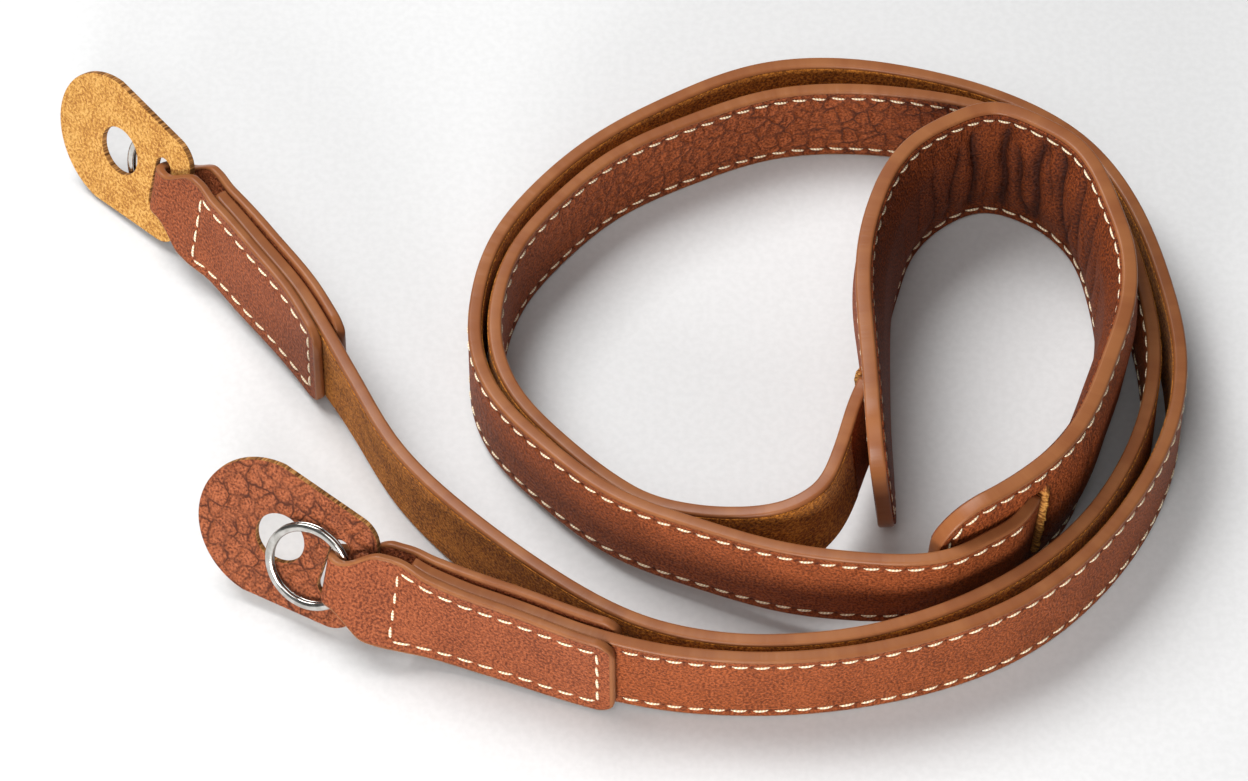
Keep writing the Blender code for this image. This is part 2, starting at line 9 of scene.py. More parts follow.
import bmesh
import bpy
import numpy as np
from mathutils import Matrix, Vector


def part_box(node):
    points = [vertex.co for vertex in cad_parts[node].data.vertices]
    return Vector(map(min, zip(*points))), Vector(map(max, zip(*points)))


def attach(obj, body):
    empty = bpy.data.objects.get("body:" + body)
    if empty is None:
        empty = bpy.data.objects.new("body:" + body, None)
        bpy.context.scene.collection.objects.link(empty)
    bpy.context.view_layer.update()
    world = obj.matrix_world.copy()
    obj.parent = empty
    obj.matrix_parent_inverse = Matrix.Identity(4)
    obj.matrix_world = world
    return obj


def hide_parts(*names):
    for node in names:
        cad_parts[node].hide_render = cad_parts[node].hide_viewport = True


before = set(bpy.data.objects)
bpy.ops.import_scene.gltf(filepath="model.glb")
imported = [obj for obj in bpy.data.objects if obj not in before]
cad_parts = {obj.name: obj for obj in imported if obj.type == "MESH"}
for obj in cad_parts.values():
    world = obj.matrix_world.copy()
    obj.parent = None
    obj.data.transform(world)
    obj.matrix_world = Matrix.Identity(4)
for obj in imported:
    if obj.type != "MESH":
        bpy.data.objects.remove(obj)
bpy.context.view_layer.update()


# Strap A, its leather: a 15 mm strip of full-grain cowhide, aniline dyed tan, grain outward. It is glued
# to a suede backing, cut to width, and its edges are painted and burnished into one rounded band.

STRAP_WIDTH = 0.015
STRAP_THICKNESS = 0.0022
COIL_WIDTH = 0.1065
COIL_DEPTH = 0.1162
STRAP_GAP = 0.0008
PAD_WIDTH = 0.026
PAD_EDGE_THICKNESS = 0.0026
PAD_SLOT_FROM_TIP = 0.0165
SLOT_RISE = (PAD_WIDTH - STRAP_WIDTH) / 2
TAB_RISE_A = 0.00282
TAB_RISE_B = 0.00330
EDGE_RADIUS = 0.00045
STITCH_INSET = 0.0016
STITCH_PITCH = 0.00315

# Middle line of strap A from its tab to the pad: x and y as shares of the coil's width and depth, gap to
# strap B as a share of the width (None where B runs apart), shares of the two rises, lean in degrees.
ROUTE_A = [
    # x, y, gap, slot_rise, tab_rise, lean
    (-0.688, -0.337, None, 0.00, 1.00, -23.0),
    (-0.613, -0.372, None, 0.00, 1.00, -23.0),
    (-0.550, -0.394, None, 0.00, 0.82, -8.0),
    (-0.495, -0.412, None, 0.00, 0.68, -3.0),
    (-0.435, -0.432, None, 0.00, 0.56, -2.0),
    (-0.323, -0.471, None, 0.00, 0.40, 1.0),
    (-0.188, -0.493, None, 0.00, 0.05, 3.0),
    (-0.080, -0.496, 0.000, 0.00, 0.00, 4.0),
    (0.029, -0.485, 0.000, 0.00, 0.00, 4.0),
    (0.137, -0.459, 0.004, 0.00, 0.00, 3.0),
    (0.249, -0.411, 0.009, 0.00, 0.00, 2.0),
    (0.364, -0.318, 0.007, 0.00, 0.00, 1.0),
    (0.444, -0.207, 0.008, 0.00, 0.00, 0.0),
    (0.490, -0.091, 0.010, 0.00, 0.00, 0.0),
    (0.500, 0.003, 0.007, 0.00, 0.00, 0.0),
    (0.487, 0.111, 0.003, 0.00, 0.00, 0.0),
    (0.448, 0.251, 0.000, 0.00, 0.00, 0.0),
    (0.380, 0.361, 0.000, 0.00, 0.00, 0.0),
    (0.264, 0.440, 0.001, 0.00, 0.00, 0.0),
    (0.148, 0.480, 0.012, 0.00, 0.00, 0.0),
    (0.030, 0.499, 0.022, 0.00, 0.00, 0.0),
    (-0.090, 0.488, 0.025, 0.00, 0.00, 0.0),
    (-0.212, 0.435, 0.019, 0.00, 0.00, 0.0),
    (-0.327, 0.361, 0.010, 0.00, 0.00, 0.0),
    (-0.413, 0.275, 0.008, 0.00, 0.00, 0.0),
    (-0.471, 0.186, 0.004, 0.00, 0.00, 0.0),
    (-0.498, 0.085, 0.000, 0.00, 0.00, 0.0),
    (-0.498, -0.001, 0.000, 0.03, 0.00, 0.0),
    (-0.468, -0.086, 0.000, 0.14, 0.00, 0.0),
    (-0.399, -0.171, 0.000, 0.30, 0.00, 0.0),
    (-0.297, -0.260, 0.001, 0.46, 0.00, 0.0),
    (-0.186, -0.313, None, 0.60, 0.00, 0.0),
    (-0.076, -0.353, None, 0.72, 0.00, 0.0),
    (0.033, -0.374, None, 0.85, 0.00, 1.0),
]

# Middle line of the pad, from the tip that takes strap A to the tip that takes strap B.
ROUTE_PAD = [
    # x, y, lean
    (0.131, -0.351, 5.0),
    (0.200, -0.315, 5.0),
    (0.272, -0.268, 4.0),
    (0.336, -0.193, 4.0),
    (0.375, -0.099, 5.0),
    (0.405, -0.012, 5.0),
    (0.416, 0.076, 4.0),
    (0.404, 0.168, 1.0),
    (0.367, 0.268, -2.0),
    (0.310, 0.316, -4.0),
    (0.244, 0.338, -4.0),
    (0.188, 0.318, -3.0),
    (0.128, 0.267, 1.0),
    (0.090, 0.188, 5.0),
    (0.068, 0.101, 6.0),
    (0.064, -0.003, 7.0),
    (0.069, -0.126, 7.0),
    (0.071, -0.240, 7.0),
]

# How a strap comes down from the pad's face into its slot: s as a share of the slot's distance from
# the pad's tip, and depth as a share of the way into the slot.
SEAT_A = [(0.15, -0.08), (0.45, -0.05), (0.72, 0.05), (0.88, 0.38), (1.02, 0.85)]
LIE_ON_PAD = PAD_EDGE_THICKNESS / 2 + STRAP_THICKNESS / 2 + 0.0006
SUNK_IN_PAD = PAD_EDGE_THICKNESS / 2 - STRAP_THICKNESS / 2 + 0.0006


def spline_second(knots, rows, start_slope=None):
    """Second derivatives of the cubic spline through rows: the tridiagonal system of equal slopes."""
    n = len(knots)
    h = np.diff(knots)
    system = np.eye(n)
    right = np.zeros_like(rows)
    for i in range(1, n - 1):
        system[i, i - 1:i + 2] = h[i - 1], 2 * (h[i - 1] + h[i]), h[i]
        right[i] = 6 * ((rows[i + 1] - rows[i]) / h[i] - (rows[i] - rows[i - 1]) / h[i - 1])
    if start_slope is not None:
        system[0, :2] = 2 * h[0], h[0]
        right[0] = 6 * ((rows[1] - rows[0]) / h[0] - start_slope)
    return np.linalg.solve(system, right)


def spline_at(knots, rows, second, t):
    """Values and slopes of the cubic spline at t, from its second derivatives at the knots."""
    i = np.clip(np.searchsorted(knots, t) - 1, 0, len(knots) - 2)
    h = (knots[i + 1] - knots[i])[:, None]
    a = (knots[i + 1] - t)[:, None]
    b = (t - knots[i])[:, None]
    value = ((second[i] * a ** 3 + second[i + 1] * b ** 3) / (6 * h)
             + (rows[i] / h - second[i] * h / 6) * a + (rows[i + 1] / h - second[i + 1] * h / 6) * b)
    slope = ((second[i + 1] * b ** 2 - second[i] * a ** 2) / (2 * h)
             + (rows[i + 1] - rows[i]) / h - (second[i + 1] - second[i]) * h / 6)
    return value, slope


def eased_at(knots, values, t):
    """Monotone cubic between the knots: slopes are harmonic means of the neighbouring secants."""
    h = np.diff(knots)
    secants = np.diff(values) / h
    slopes = np.zeros(len(knots))
    same = secants[:-1] * secants[1:] > 0
    slopes[1:-1][same] = 2 / (1 / secants[:-1][same] + 1 / secants[1:][same])
    i = np.clip(np.searchsorted(knots, t) - 1, 0, len(knots) - 2)
    u = (t - knots[i]) / h[i]
    return (values[i] * (1 + 2 * u) * (1 - u) ** 2 + values[i + 1] * u * u * (3 - 2 * u)
            + h[i] * u * (1 - u) * (slopes[i] * (1 - u) - slopes[i + 1] * u))


class Ribbon:
    """A strip on its edge along a route: place(s, v, w) takes the length s along it, the height v over
    its lower edge and the distance w outward, and turns v and w by the lean about the middle line."""

    def __init__(self, rows, width, thickness, straight_start):
        rows = np.array(rows, float)
        self.width = width
        self.thickness = thickness
        self.shift = np.zeros(3)
        start_slope = None
        if straight_start:
            first = rows[1, :2] - rows[0, :2]
            start_slope = first / np.linalg.norm(first)
            rows = rows[1:]
        self.rows = rows
        chords = np.hypot(*np.diff(rows[:, :2], axis=0).T)
        self.knots = np.concatenate([[0.0], np.cumsum(chords)])
        self.second = spline_second(self.knots, rows[:, :2], start_slope)
        self.fine = np.linspace(0, self.knots[-1], 3000)
        points, _ = spline_at(self.knots, rows[:, :2], self.second, self.fine)
        steps = np.hypot(*np.diff(points, axis=0).T)
        self.lengths = np.concatenate([[0.0], np.cumsum(steps)])
        self.length = self.lengths[-1]

    def frame(self, s):
        """Middle points, outward normals, rises and leans in radians at lengths s."""
        s = np.atleast_1d(np.asarray(s, float))
        inside = np.clip(s, 0, self.length)
        t = np.interp(inside, self.lengths, self.fine)
        value, slope = spline_at(self.knots, self.rows[:, :2], self.second, t)
        along = slope / np.linalg.norm(slope, axis=1)[:, None]
        point = value + along * (s - inside)[:, None]
        outward = np.stack([along[:, 1], -along[:, 0]], axis=1)
        rise = eased_at(self.knots, self.rows[:, 2], t)
        lean = np.radians(eased_at(self.knots, self.rows[:, 3], t))
        return point, outward, rise, lean

    def middle_height(self, rise, lean):
        return rise + self.width / 2 * np.cos(lean) + self.thickness / 2 * np.abs(np.sin(lean))

    def place(self, s, v, w):
        """Points for arrays s, v and w of any one shape, with a last axis of x, y and z."""
        s, v, w = np.broadcast_arrays(s, v, w)
        flat_s, flat_v, flat_w = s.ravel(), v.ravel(), w.ravel()
        point, outward, rise, lean = self.frame(flat_s)
        high = flat_v - self.width / 2
        side = flat_w * np.cos(lean) + high * np.sin(lean)
        up = self.middle_height(rise, lean) + high * np.cos(lean) - flat_w * np.sin(lean)
        points = np.column_stack([point + outward * side[:, None], up]) + self.shift
        return points.reshape(s.shape + (3,))


def share_rows(table, tab_height):
    """Rows (x, y, slot_rise, tab_rise, lean) with shares turned to metres and the two rises summed."""
    return [(x * COIL_WIDTH, y * COIL_DEPTH, slot_rise * SLOT_RISE + tab_rise * tab_height, lean)
            for x, y, slot_rise, tab_rise, lean in table]


def seat_rows(pad, table, from_start):
    """Rows, about the coil's middle, of a strap on the pad's outer face that comes down into a slot."""
    result = []
    for share, depth in table:
        distance = share * PAD_SLOT_FROM_TIP
        s = distance if from_start else pad.length - distance
        away = LIE_ON_PAD + (SUNK_IN_PAD - LIE_ON_PAD) * depth
        point = pad.place(s, PAD_WIDTH / 2, away) - pad.shift
        lean = pad.frame(s)[3][0]
        height = (STRAP_WIDTH * math.cos(lean) + STRAP_THICKNESS * abs(math.sin(lean))) / 2
        result.append((point[0], point[1], point[2] - height,
                       math.degrees(lean) * (1 if from_start else -1)))
    return result


pad_rows = [(x * COIL_WIDTH, y * COIL_DEPTH, 0.0, lean) for x, y, lean in ROUTE_PAD]
pad_route = Ribbon(pad_rows, PAD_WIDTH, PAD_EDGE_THICKNESS, False)
rows_a = share_rows([(x, y, slot, tab, lean) for x, y, gap, slot, tab, lean in ROUTE_A], TAB_RISE_A)
route_a = Ribbon(rows_a + seat_rows(pad_route, SEAT_A, True), STRAP_WIDTH, STRAP_THICKNESS, True)

# The routes are drawn about the coil's middle. The frame says where that lies in the part.
coil = route_a.place(np.linspace(0.0035, route_a.length, 4000)[:, None],
                     np.array([0.0, STRAP_WIDTH])[None], STRAP_THICKNESS / 2)
cad_low, cad_high = (np.array(corner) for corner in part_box("strap_a_leather"))
coil_shift = np.array([cad_high[0] - coil[..., 0].max(), cad_low[1] - coil[..., 1].min(),
                       cad_high[2] - coil[..., 2].max()])
pad_route.shift = coil_shift
route_a.shift = coil_shift


def linear(hex_colour):
    """Linear RGBA of an sRGB hex colour."""
    channels = [int(hex_colour[i:i + 2], 16) / 255 for i in (1, 3, 5)]
    return [c / 12.92 if c <= 0.04045 else ((c + 0.055) / 1.055) ** 2.4 for c in channels] + [1.0]


def add_node(material, kind, inputs=None, **settings):
    """Adds a node with its settings. An input is a value, an output socket to link from, or a node,
    which stands for its first output."""
    tree = material.node_tree
    node = tree.nodes.new(kind)
    for name, value in settings.items():
        setattr(node, name, value)
    for name, value in (inputs or {}).items():
        if isinstance(value, bpy.types.Node):
            value = value.outputs[0]
        if isinstance(value, bpy.types.NodeSocket):
            tree.links.new(value, node.inputs[name])
        else:
            node.inputs[name].default_value = value
    return node


def calc(material, operation, *values):
    return add_node(material, "ShaderNodeMath", dict(enumerate(values)), operation=operation)


def map_range(material, value, low=0.0, high=1.0, to_low=0.0, to_high=1.0, easing="LINEAR"):
    return add_node(material, "ShaderNodeMapRange",
                    {"Value": value, "From Min": low, "From Max": high, "To Min": to_low,
                     "To Max": to_high}, interpolation_type=easing)


def mix(material, share, first, second):
    return add_node(material, "ShaderNodeMixRGB", {"Fac": share, "Color1": first, "Color2": second})


def noise_2d(material, vector, scale, detail=2.0, roughness=0.5):
    return add_node(material, "ShaderNodeTexNoise",
                    {"Vector": vector, "Scale": scale, "Detail": detail, "Roughness": roughness},
                    noise_dimensions="2D")


def attribute(material, name):
    return add_node(material, "ShaderNodeAttribute", attribute_name=name).outputs["Fac"]


def ramp(material, source, stops):
    """An eased colour ramp on a value: stops are (position, hex colour)."""
    node = add_node(material, "ShaderNodeValToRGB", {"Fac": source})
    node.color_ramp.interpolation = "EASE"
    elements = node.color_ramp.elements
    while len(elements) < len(stops):
        elements.new(0.5)
    for element, (position, colour) in zip(elements, stops):
        element.position = position
        element.color = linear(colour)
    return node


def new_material(name, roughness, specular=0.5, metallic=0.0):
    """A material with a Principled shader whose constant numbers are set on its sockets."""
    material = bpy.data.materials.new(name)
    material.use_nodes = True
    shader = material.node_tree.nodes["Principled BSDF"]
    shader.inputs["Roughness"].default_value = roughness
    shader.inputs["IOR"].default_value = 1.5
    shader.inputs["Specular IOR Level"].default_value = specular
    shader.inputs["Metallic"].default_value = metallic
    return material, shader


def link(material, source, shader, name):
    material.node_tree.links.new(source.outputs[0], shader.inputs[name])


def add_bump(material, shader, height, strength, distance):
    bump = add_node(material, "ShaderNodeBump",
                    {"Height": height, "Strength": strength, "Distance": distance})
    link(material, bump, shader, "Normal")


TOOTH_MM = 0.42
TONE_PATCH_MM = 6.0


def grain_leather(name, light, middle, dark, cell_mm, roughness):
    """Full-grain cowhide, drum-dyed with aniline: a fine tooth of raised dots, and over it rounded pebbles
    parted by creases where the hide is loose, so it is dull, warm and speckled; the creases are darkened
    with painted shade. Its cut edge is painted with acrylic and burnished, smooth and satin. The UV map is
    in metres on the surface. The attribute paint is the depth inside the painted band in millimetres, loose
    is where the hide shows its pebbles and their painted crease shade, hole is painted shade in a stitch
    hole or a crease valley, and welt is raw fibre at a slot."""
    material, shader = new_material(name, roughness, specular=0.18)
    place = add_node(material, "ShaderNodeUVMap", uv_map="surface")
    tooth = noise_2d(material, place, 1000 / TOOTH_MM, roughness=0.65)
    tone = noise_2d(material, place, 1000 / TONE_PATCH_MM, detail=3.0, roughness=0.6)
    bend = noise_2d(material, place, 700 / cell_mm)
    bent = add_node(material, "ShaderNodeVectorMath",
                    {0: bend.outputs["Color"], 1: (0.0011 * cell_mm,) * 3, 2: place},
                    operation="MULTIPLY_ADD")
    cells = add_node(material, "ShaderNodeTexVoronoi",
                     {"Vector": bent, "Scale": 1000 / cell_mm, "Randomness": 0.85},
                     feature="DISTANCE_TO_EDGE", voronoi_dimensions="2D")
    crease = map_range(material, cells, high=0.14, easing="SMOOTHSTEP")
    loose = attribute(material, "loose")
    speck = calc(material, "MULTIPLY_ADD", tone, 0.20, tooth)
    dyed = ramp(material, speck, [(0.43, dark), (0.60, middle), (0.77, light)])
    strength = map_range(material, bend, low=0.35, high=0.62, to_low=0.35)
    uneven = calc(material, "MULTIPLY", loose, strength)
    # Painted shade: the creases between the pebbles are darkened towards #451E0E.
    painted_crease_shade = calc(material, "MULTIPLY", calc(material, "SUBTRACT", 1.0, crease), uneven)
    creased = mix(material, painted_crease_shade, dyed, linear("#451E0E"))
    border = calc(material, "MULTIPLY_ADD", tooth, 0.6, -0.3)
    edge = calc(material, "ADD", attribute(material, "paint"), border)
    painted = map_range(material, edge, low=-0.05, high=0.05)
    paint_tone = ramp(material, tone, [(0.25, "#7C492A"), (0.75, "#895633")])
    coloured = mix(material, painted, creased, paint_tone)
    # Painted shade: the hole attribute darkens stitch holes and crease valleys towards #2E120A.
    with_painted_hole_shade = mix(material, attribute(material, "hole"), coloured, linear("#2E120A"))
    fibre = ramp(material, tooth, [(0.42, "#7A4C1C"), (0.58, "#C08A44")])
    raw = mix(material, attribute(material, "welt"), with_painted_hole_shade, fibre)
    link(material, raw, shader, "Base Color")
    gloss = map_range(material, painted, to_low=roughness, to_high=0.34)
    link(material, gloss, shader, "Roughness")
    pillow = map_range(material, cells, high=0.36, easing="SMOOTHSTEP")
    pebbles = calc(material, "MULTIPLY", pillow, loose)
    relief = calc(material, "MULTIPLY_ADD", pebbles, 1.60, tooth)
    bare = map_range(material, painted, to_low=1.0, to_high=0.06)
    add_bump(material, shader, calc(material, "MULTIPLY", relief, bare), 1.0, 0.00026)
    return material


strap_leather = grain_leather("strap_full_grain_cowhide", "#A0532C", "#85421F", "#602A10", 2.5, 0.60)


def add_surface_map(mesh, surface):
    """The UV map: each corner of a face takes the two metres of its vertex."""
    corners = np.empty(len(mesh.loops), np.int32)
    mesh.loops.foreach_get("vertex_index", corners)
    layer = mesh.uv_layers.new(name="surface")
    layer.uv.foreach_set("vector", surface.reshape(-1, 2)[corners].astype(np.float32).ravel())


def add_attributes(mesh, attributes, shape):
    """Numbers kept on the points, each spread over the shape of the points."""
    for label, values in attributes.items():
        layer = mesh.attributes.new(label, "FLOAT", "POINT")
        layer.data.foreach_set("value", np.broadcast_to(values, shape).astype(np.float32).ravel())


def add_object(mesh, materials):
    for material in materials:
        mesh.materials.append(material)
    obj = bpy.data.objects.new(mesh.name, mesh)
    bpy.context.scene.collection.objects.link(obj)
    return obj


def ring_quads(index):
    """Faces between neighbouring rings of vertices, index (m, k)."""
    around = np.roll(index, -1, axis=1)
    return np.stack([index[:-1], around[:-1], around[1:], index[1:]], axis=-1).reshape(-1, 4)


def skin_mesh(name, points, faces, first, second, attributes):
    """A smooth closed skin. All its faces point inward: they are flipped if the ring first runs
    counterclockwise about the way to the ring second, which would have them point outward."""
    mesh = bpy.data.meshes.new(name)
    mesh.from_pydata(points.reshape(-1, 3).tolist(), [], faces)
    spokes = first - first.mean(axis=0)
    area = np.cross(spokes, np.roll(spokes, -1, axis=0)).sum(axis=0)
    if area @ (second - first).mean(axis=0) > 0:
        mesh.flip_normals()
    add_attributes(mesh, attributes, points.shape[:-1])
    mesh.shade_smooth()
    return mesh


def add_tube(name, points, surface, attributes, material):
    """A closed skin through sections points (m, k, 3). surface is two (m, k) arrays of metres along
    and across, which become the UV map, and attributes are (m, k) arrays kept on the points."""
    shape = points.shape[:-1]
    index = np.arange(shape[0] * shape[1]).reshape(shape)
    faces = ring_quads(index).tolist() + [index[0][::-1].tolist(), index[-1].tolist()]
    mesh = skin_mesh(name, points, faces, points[0], points[1], attributes)
    add_surface_map(mesh, np.stack([np.broadcast_to(part, shape) for part in surface], axis=-1))
    return add_object(mesh, [material])


def rounded_profile(half_width, half_thickness, radius, across):
    """A rounded rectangle as rows (share, inset, w, paint), where v = share x half width + inset.

    It runs up the front, over the upper edge, down the back and round the lower edge: corners are arcs
    of the radius, and across lists the shares of the flat faces' width that get a point. paint is the
    distance inside the painted band in millimetres, below zero on the two faces."""
    rows = []
    quarter = np.radians(np.linspace(0, 90, 6))
    for face, shares in ((1, across), (-1, across[::-1])):
        for share in shares:
            rows.append((share, -share * radius, face * half_thickness,
                         -(1 - abs(share)) * half_width * 1000))
        for turned, angles in ((face, quarter), (-face, quarter[::-1])):
            for angle in angles:
                rows.append((face, face * radius * (math.sin(angle) - 1),
                             turned * (half_thickness + radius * (math.cos(angle) - 1)),
                             (0.05 if turned > 0 else 0.4) + math.sin(angle)))
    return np.array(rows)


LINE_DEPTH = 0.00009
LINE_REACH = 0.00055
HOLE_DEPTH = 0.00022
HOLE_RADIUS = 0.00034


def to_nearest_hole(phase):
    return (phase - np.round(phase)) * STITCH_PITCH


def stitch_dimples(s, v, start, end):
    """How much stitching pulls the leather in and how much painted shade its holes get: a shallow trough
    along each line and a pit at each hole, both Gaussian in the distance."""
    groove = np.zeros(np.broadcast(s, v).shape)
    pit = np.zeros_like(groove)
    inside = (s > start) & (s < end)
    to_hole = to_nearest_hole((s - start) / STITCH_PITCH)
    for line in STITCH_LINES:
        off = v - line
        groove += np.exp(-(off / LINE_REACH) ** 2) * inside
        pit += np.exp(-(off ** 2 + to_hole ** 2) / HOLE_RADIUS ** 2) * inside
    return LINE_DEPTH * groove + HOLE_DEPTH * pit, np.clip(pit, 0, 1)


EDGE_SHARES = np.array([0.60, 0.66, 0.71, 0.74, 0.77, 0.80, 0.83, 0.88, 0.93, 0.97])
ACROSS = np.concatenate([-EDGE_SHARES[::-1], np.linspace(-0.5, 0.5, 9), EDGE_SHARES])
STRAP_STEP = 0.0006
STRAP_START = 0.0036
BACKING_THICKNESS = 0.00014
STITCH_LINES = (STITCH_INSET, STRAP_WIDTH - STITCH_INSET)
STITCH_START = 0.0364
STITCH_END_GAP = 0.0010


def make_strap_leather(name, route, side, loose_at, loose_reach):
    """A strap's body: the rounded profile carried along its route, pressed in along the stitches. The
    hide is loose by a Gaussian in the distance from loose_at, in loose_reach."""
    lengths = np.linspace(STRAP_START, route.length, int((route.length - STRAP_START) / STRAP_STEP))
    rows = rounded_profile(STRAP_WIDTH / 2, (STRAP_THICKNESS - BACKING_THICKNESS) / 2, EDGE_RADIUS,
                           ACROSS)
    s = lengths[:, None]
    v = (STRAP_WIDTH / 2 + rows[:, 0] * STRAP_WIDTH / 2 + rows[:, 1])[None]
    w = (rows[:, 2] + BACKING_THICKNESS / 2)[None]
    press, hole = stitch_dimples(s, v, STITCH_START, route.length - STITCH_END_GAP)
    front = rows[:, 2][None] > 0
    w = w - press * front
    points = route.place(s, v, side * w)
    loose = 0.16 + 0.8 * np.exp(-((s - loose_at) / loose_reach) ** 2)
    # hole carries the painted shade of the stitch holes.
    obj = add_tube(name, points, (s, v), {"paint": rows[:, 3][None], "hole": hole * front,
                                          "loose": loose}, strap_leather)
    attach(obj, "root")
    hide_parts(name.replace("_body", "_leather"))


make_strap_leather("strap_a_body", route_a, 1, 0.300, 0.030)


# Strap A's suede backing: split cowhide with its nap outward, dyed a golden tan and glued to the back.
# It stops just short of the painted edges.

SUEDE_INSET = 0.00060
SUEDE_END_GAP = 0.0110
SUEDE_STEP = 0.0010
NAP_MM = 0.50
NAP_PATCH_MM = 3.5
NAP_PATCH_SHARE = 0.25


def suede(name, light, middle, dark):
    """Split cowhide, brushed: short fibres stand in tufts, so it is matt and speckled with lit tips
    and dark roots, broken by patches where the nap lies over, and it has a soft sheen."""
    material, shader = new_material(name, 0.95, specular=0.08)
    shader.inputs["Sheen Weight"].default_value = 0.05
    place = add_node(material, "ShaderNodeUVMap", uv_map="surface")
    nap = noise_2d(material, place, 1000 / NAP_MM, detail=3.0, roughness=0.75)
    patch = noise_2d(material, place, 1000 / NAP_PATCH_MM)
    mixed = calc(material, "MULTIPLY_ADD", patch, NAP_PATCH_SHARE, nap)
    centre = 0.5 + 0.5 * NAP_PATCH_SHARE
    colour = ramp(material, mixed, [(centre - 0.15, dark), (centre, middle), (centre + 0.13, light)])
    link(material, colour, shader, "Base Color")
    add_bump(material, shader, nap, 1.0, 0.00030)
    return material


strap_suede = suede("strap_split_suede", "#C47C30", "#9E5E20", "#6A3B11")


def make_strap_suede(name, route, side):
    """The backing: a thin sheet on the strap's back, its face a little uneven like brushed nap."""
    end = route.length - SUEDE_END_GAP
    lengths = np.linspace(STRAP_START, end, int((end - STRAP_START) / SUEDE_STEP))
    rows = rounded_profile(STRAP_WIDTH / 2 - SUEDE_INSET, BACKING_THICKNESS / 2,
                           BACKING_THICKNESS * 0.4, np.linspace(-0.9, 0.9, 9))
    v = (STRAP_WIDTH / 2 + rows[:, 0] * (STRAP_WIDTH / 2 - SUEDE_INSET) + rows[:, 1])[None]
    w = (-STRAP_THICKNESS / 2 + BACKING_THICKNESS / 2 - rows[:, 2])[None]
    obj = add_tube(name, route.place(lengths[:, None], v, side * w), (lengths[:, None], v), {},
                   strap_suede)
    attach(obj, "root")
    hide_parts(name.replace("_backing", "_suede"))


make_strap_suede("strap_a_backing", route_a, 1)


# Strap B: the same strip, laid suede to suede inside strap A round the coil, so its grain faces the
# coil's middle. It leaves strap A at both ends, for its own tab and for the pad's other slot.

ROUTE_B_START = [
    # x, y, slot_rise, tab_rise, lean
    (-0.966, 0.307, 0.00, 1.00, -16.0),
    (-0.906, 0.253, 0.00, 1.00, -16.0),
    (-0.870, 0.218, 0.00, 0.95, -9.0),
    (-0.820, 0.158, 0.00, 0.85, -7.0),
    (-0.760, 0.085, 0.00, 0.70, -5.0),
    (-0.714, 0.018, 0.00, 0.50, -1.0),
    (-0.672, -0.050, 0.00, 0.20, 2.0),
    (-0.608, -0.160, 0.00, 0.00, 3.0),
    (-0.500, -0.278, 0.00, 0.00, 2.0),
    (-0.379, -0.377, 0.00, 0.00, 1.0),
    (-0.243, -0.452, 0.00, 0.00, 0.0),
]
ROUTE_B_END = [
    (-0.187, -0.281, 0.30, 0.00, 0.0),
    (-0.132, -0.291, 0.48, 0.00, 0.0),
    (-0.077, -0.292, 0.70, 0.00, 0.0),
    (-0.022, -0.270, 0.90, 0.00, -1.0),
    (0.016, -0.211, 1.00, 0.00, -5.0),
]
SEAT_B = [(0.88, 0.38), (1.02, 0.85)]


def inner_rows(table, ribbon):
    """Strap B's rows beside strap A: its middle line less one strap and the gap between them."""
    result = []
    for row, knot in zip(table[1:], ribbon.knots):
        gap = row[2]
        if gap is None:
            continue
        point, outward, _, lean = ribbon.frame(np.interp(knot, ribbon.fine, ribbon.lengths))
        x, y = point[0] - outward[0] * (STRAP_THICKNESS + STRAP_GAP + gap * COIL_WIDTH)
        result.append((x, y, 0.0, math.degrees(lean[0])))
    return result


rows_b = share_rows(ROUTE_B_START, TAB_RISE_B) + inner_rows(ROUTE_A, route_a)
rows_b = rows_b + share_rows(ROUTE_B_END, TAB_RISE_B) + seat_rows(pad_route, SEAT_B, False)
route_b = Ribbon(rows_b, STRAP_WIDTH, STRAP_THICKNESS, True)
route_b.shift = coil_shift

make_strap_leather("strap_b_body", route_b, -1, 0.290, 0.055)
make_strap_suede("strap_b_backing", route_b, -1)


# Stitches: bonded polyester thread, cream, about 0.5 mm thick and twisted of two plies, lock-stitched
# along both edges of each strap at about eight stitches to the inch.

THREAD_RADIUS = 0.00019
THREAD_LAY = 0.00050
THREAD_RISE = 0.00019
THREAD_SUNK = 0.00016
STITCH_SLANT = 0.00010
STITCH_SCATTER = 0.00006
STRAP_PRESSED = 0.00005
STITCH_LENGTH = 0.00235


def thread_material():
    """Bonded polyester, twisted and lightly waxed: fibres across the thread catch a soft light, and the
    grooves between its two plies are drawn as slanted lines of painted shade 0.5 mm apart."""
    material, shader = new_material("bonded_thread", 0.55)
    shader.inputs["Sheen Weight"].default_value = 0.3
    wave = calc(material, "SINE", attribute(material, "lay"))
    # Painted shade: the colour darkens towards #DCC298 in the grooves between the plies.
    colour = ramp(material, wave, [(0.0, "#DCC298"), (0.4, "#F4E2C2"), (1.0, "#FCEFD6")])
    link(material, colour, shader, "Base Color")
    add_bump(material, shader, wave, 0.5, 0.0001)
    return material


thread = thread_material()


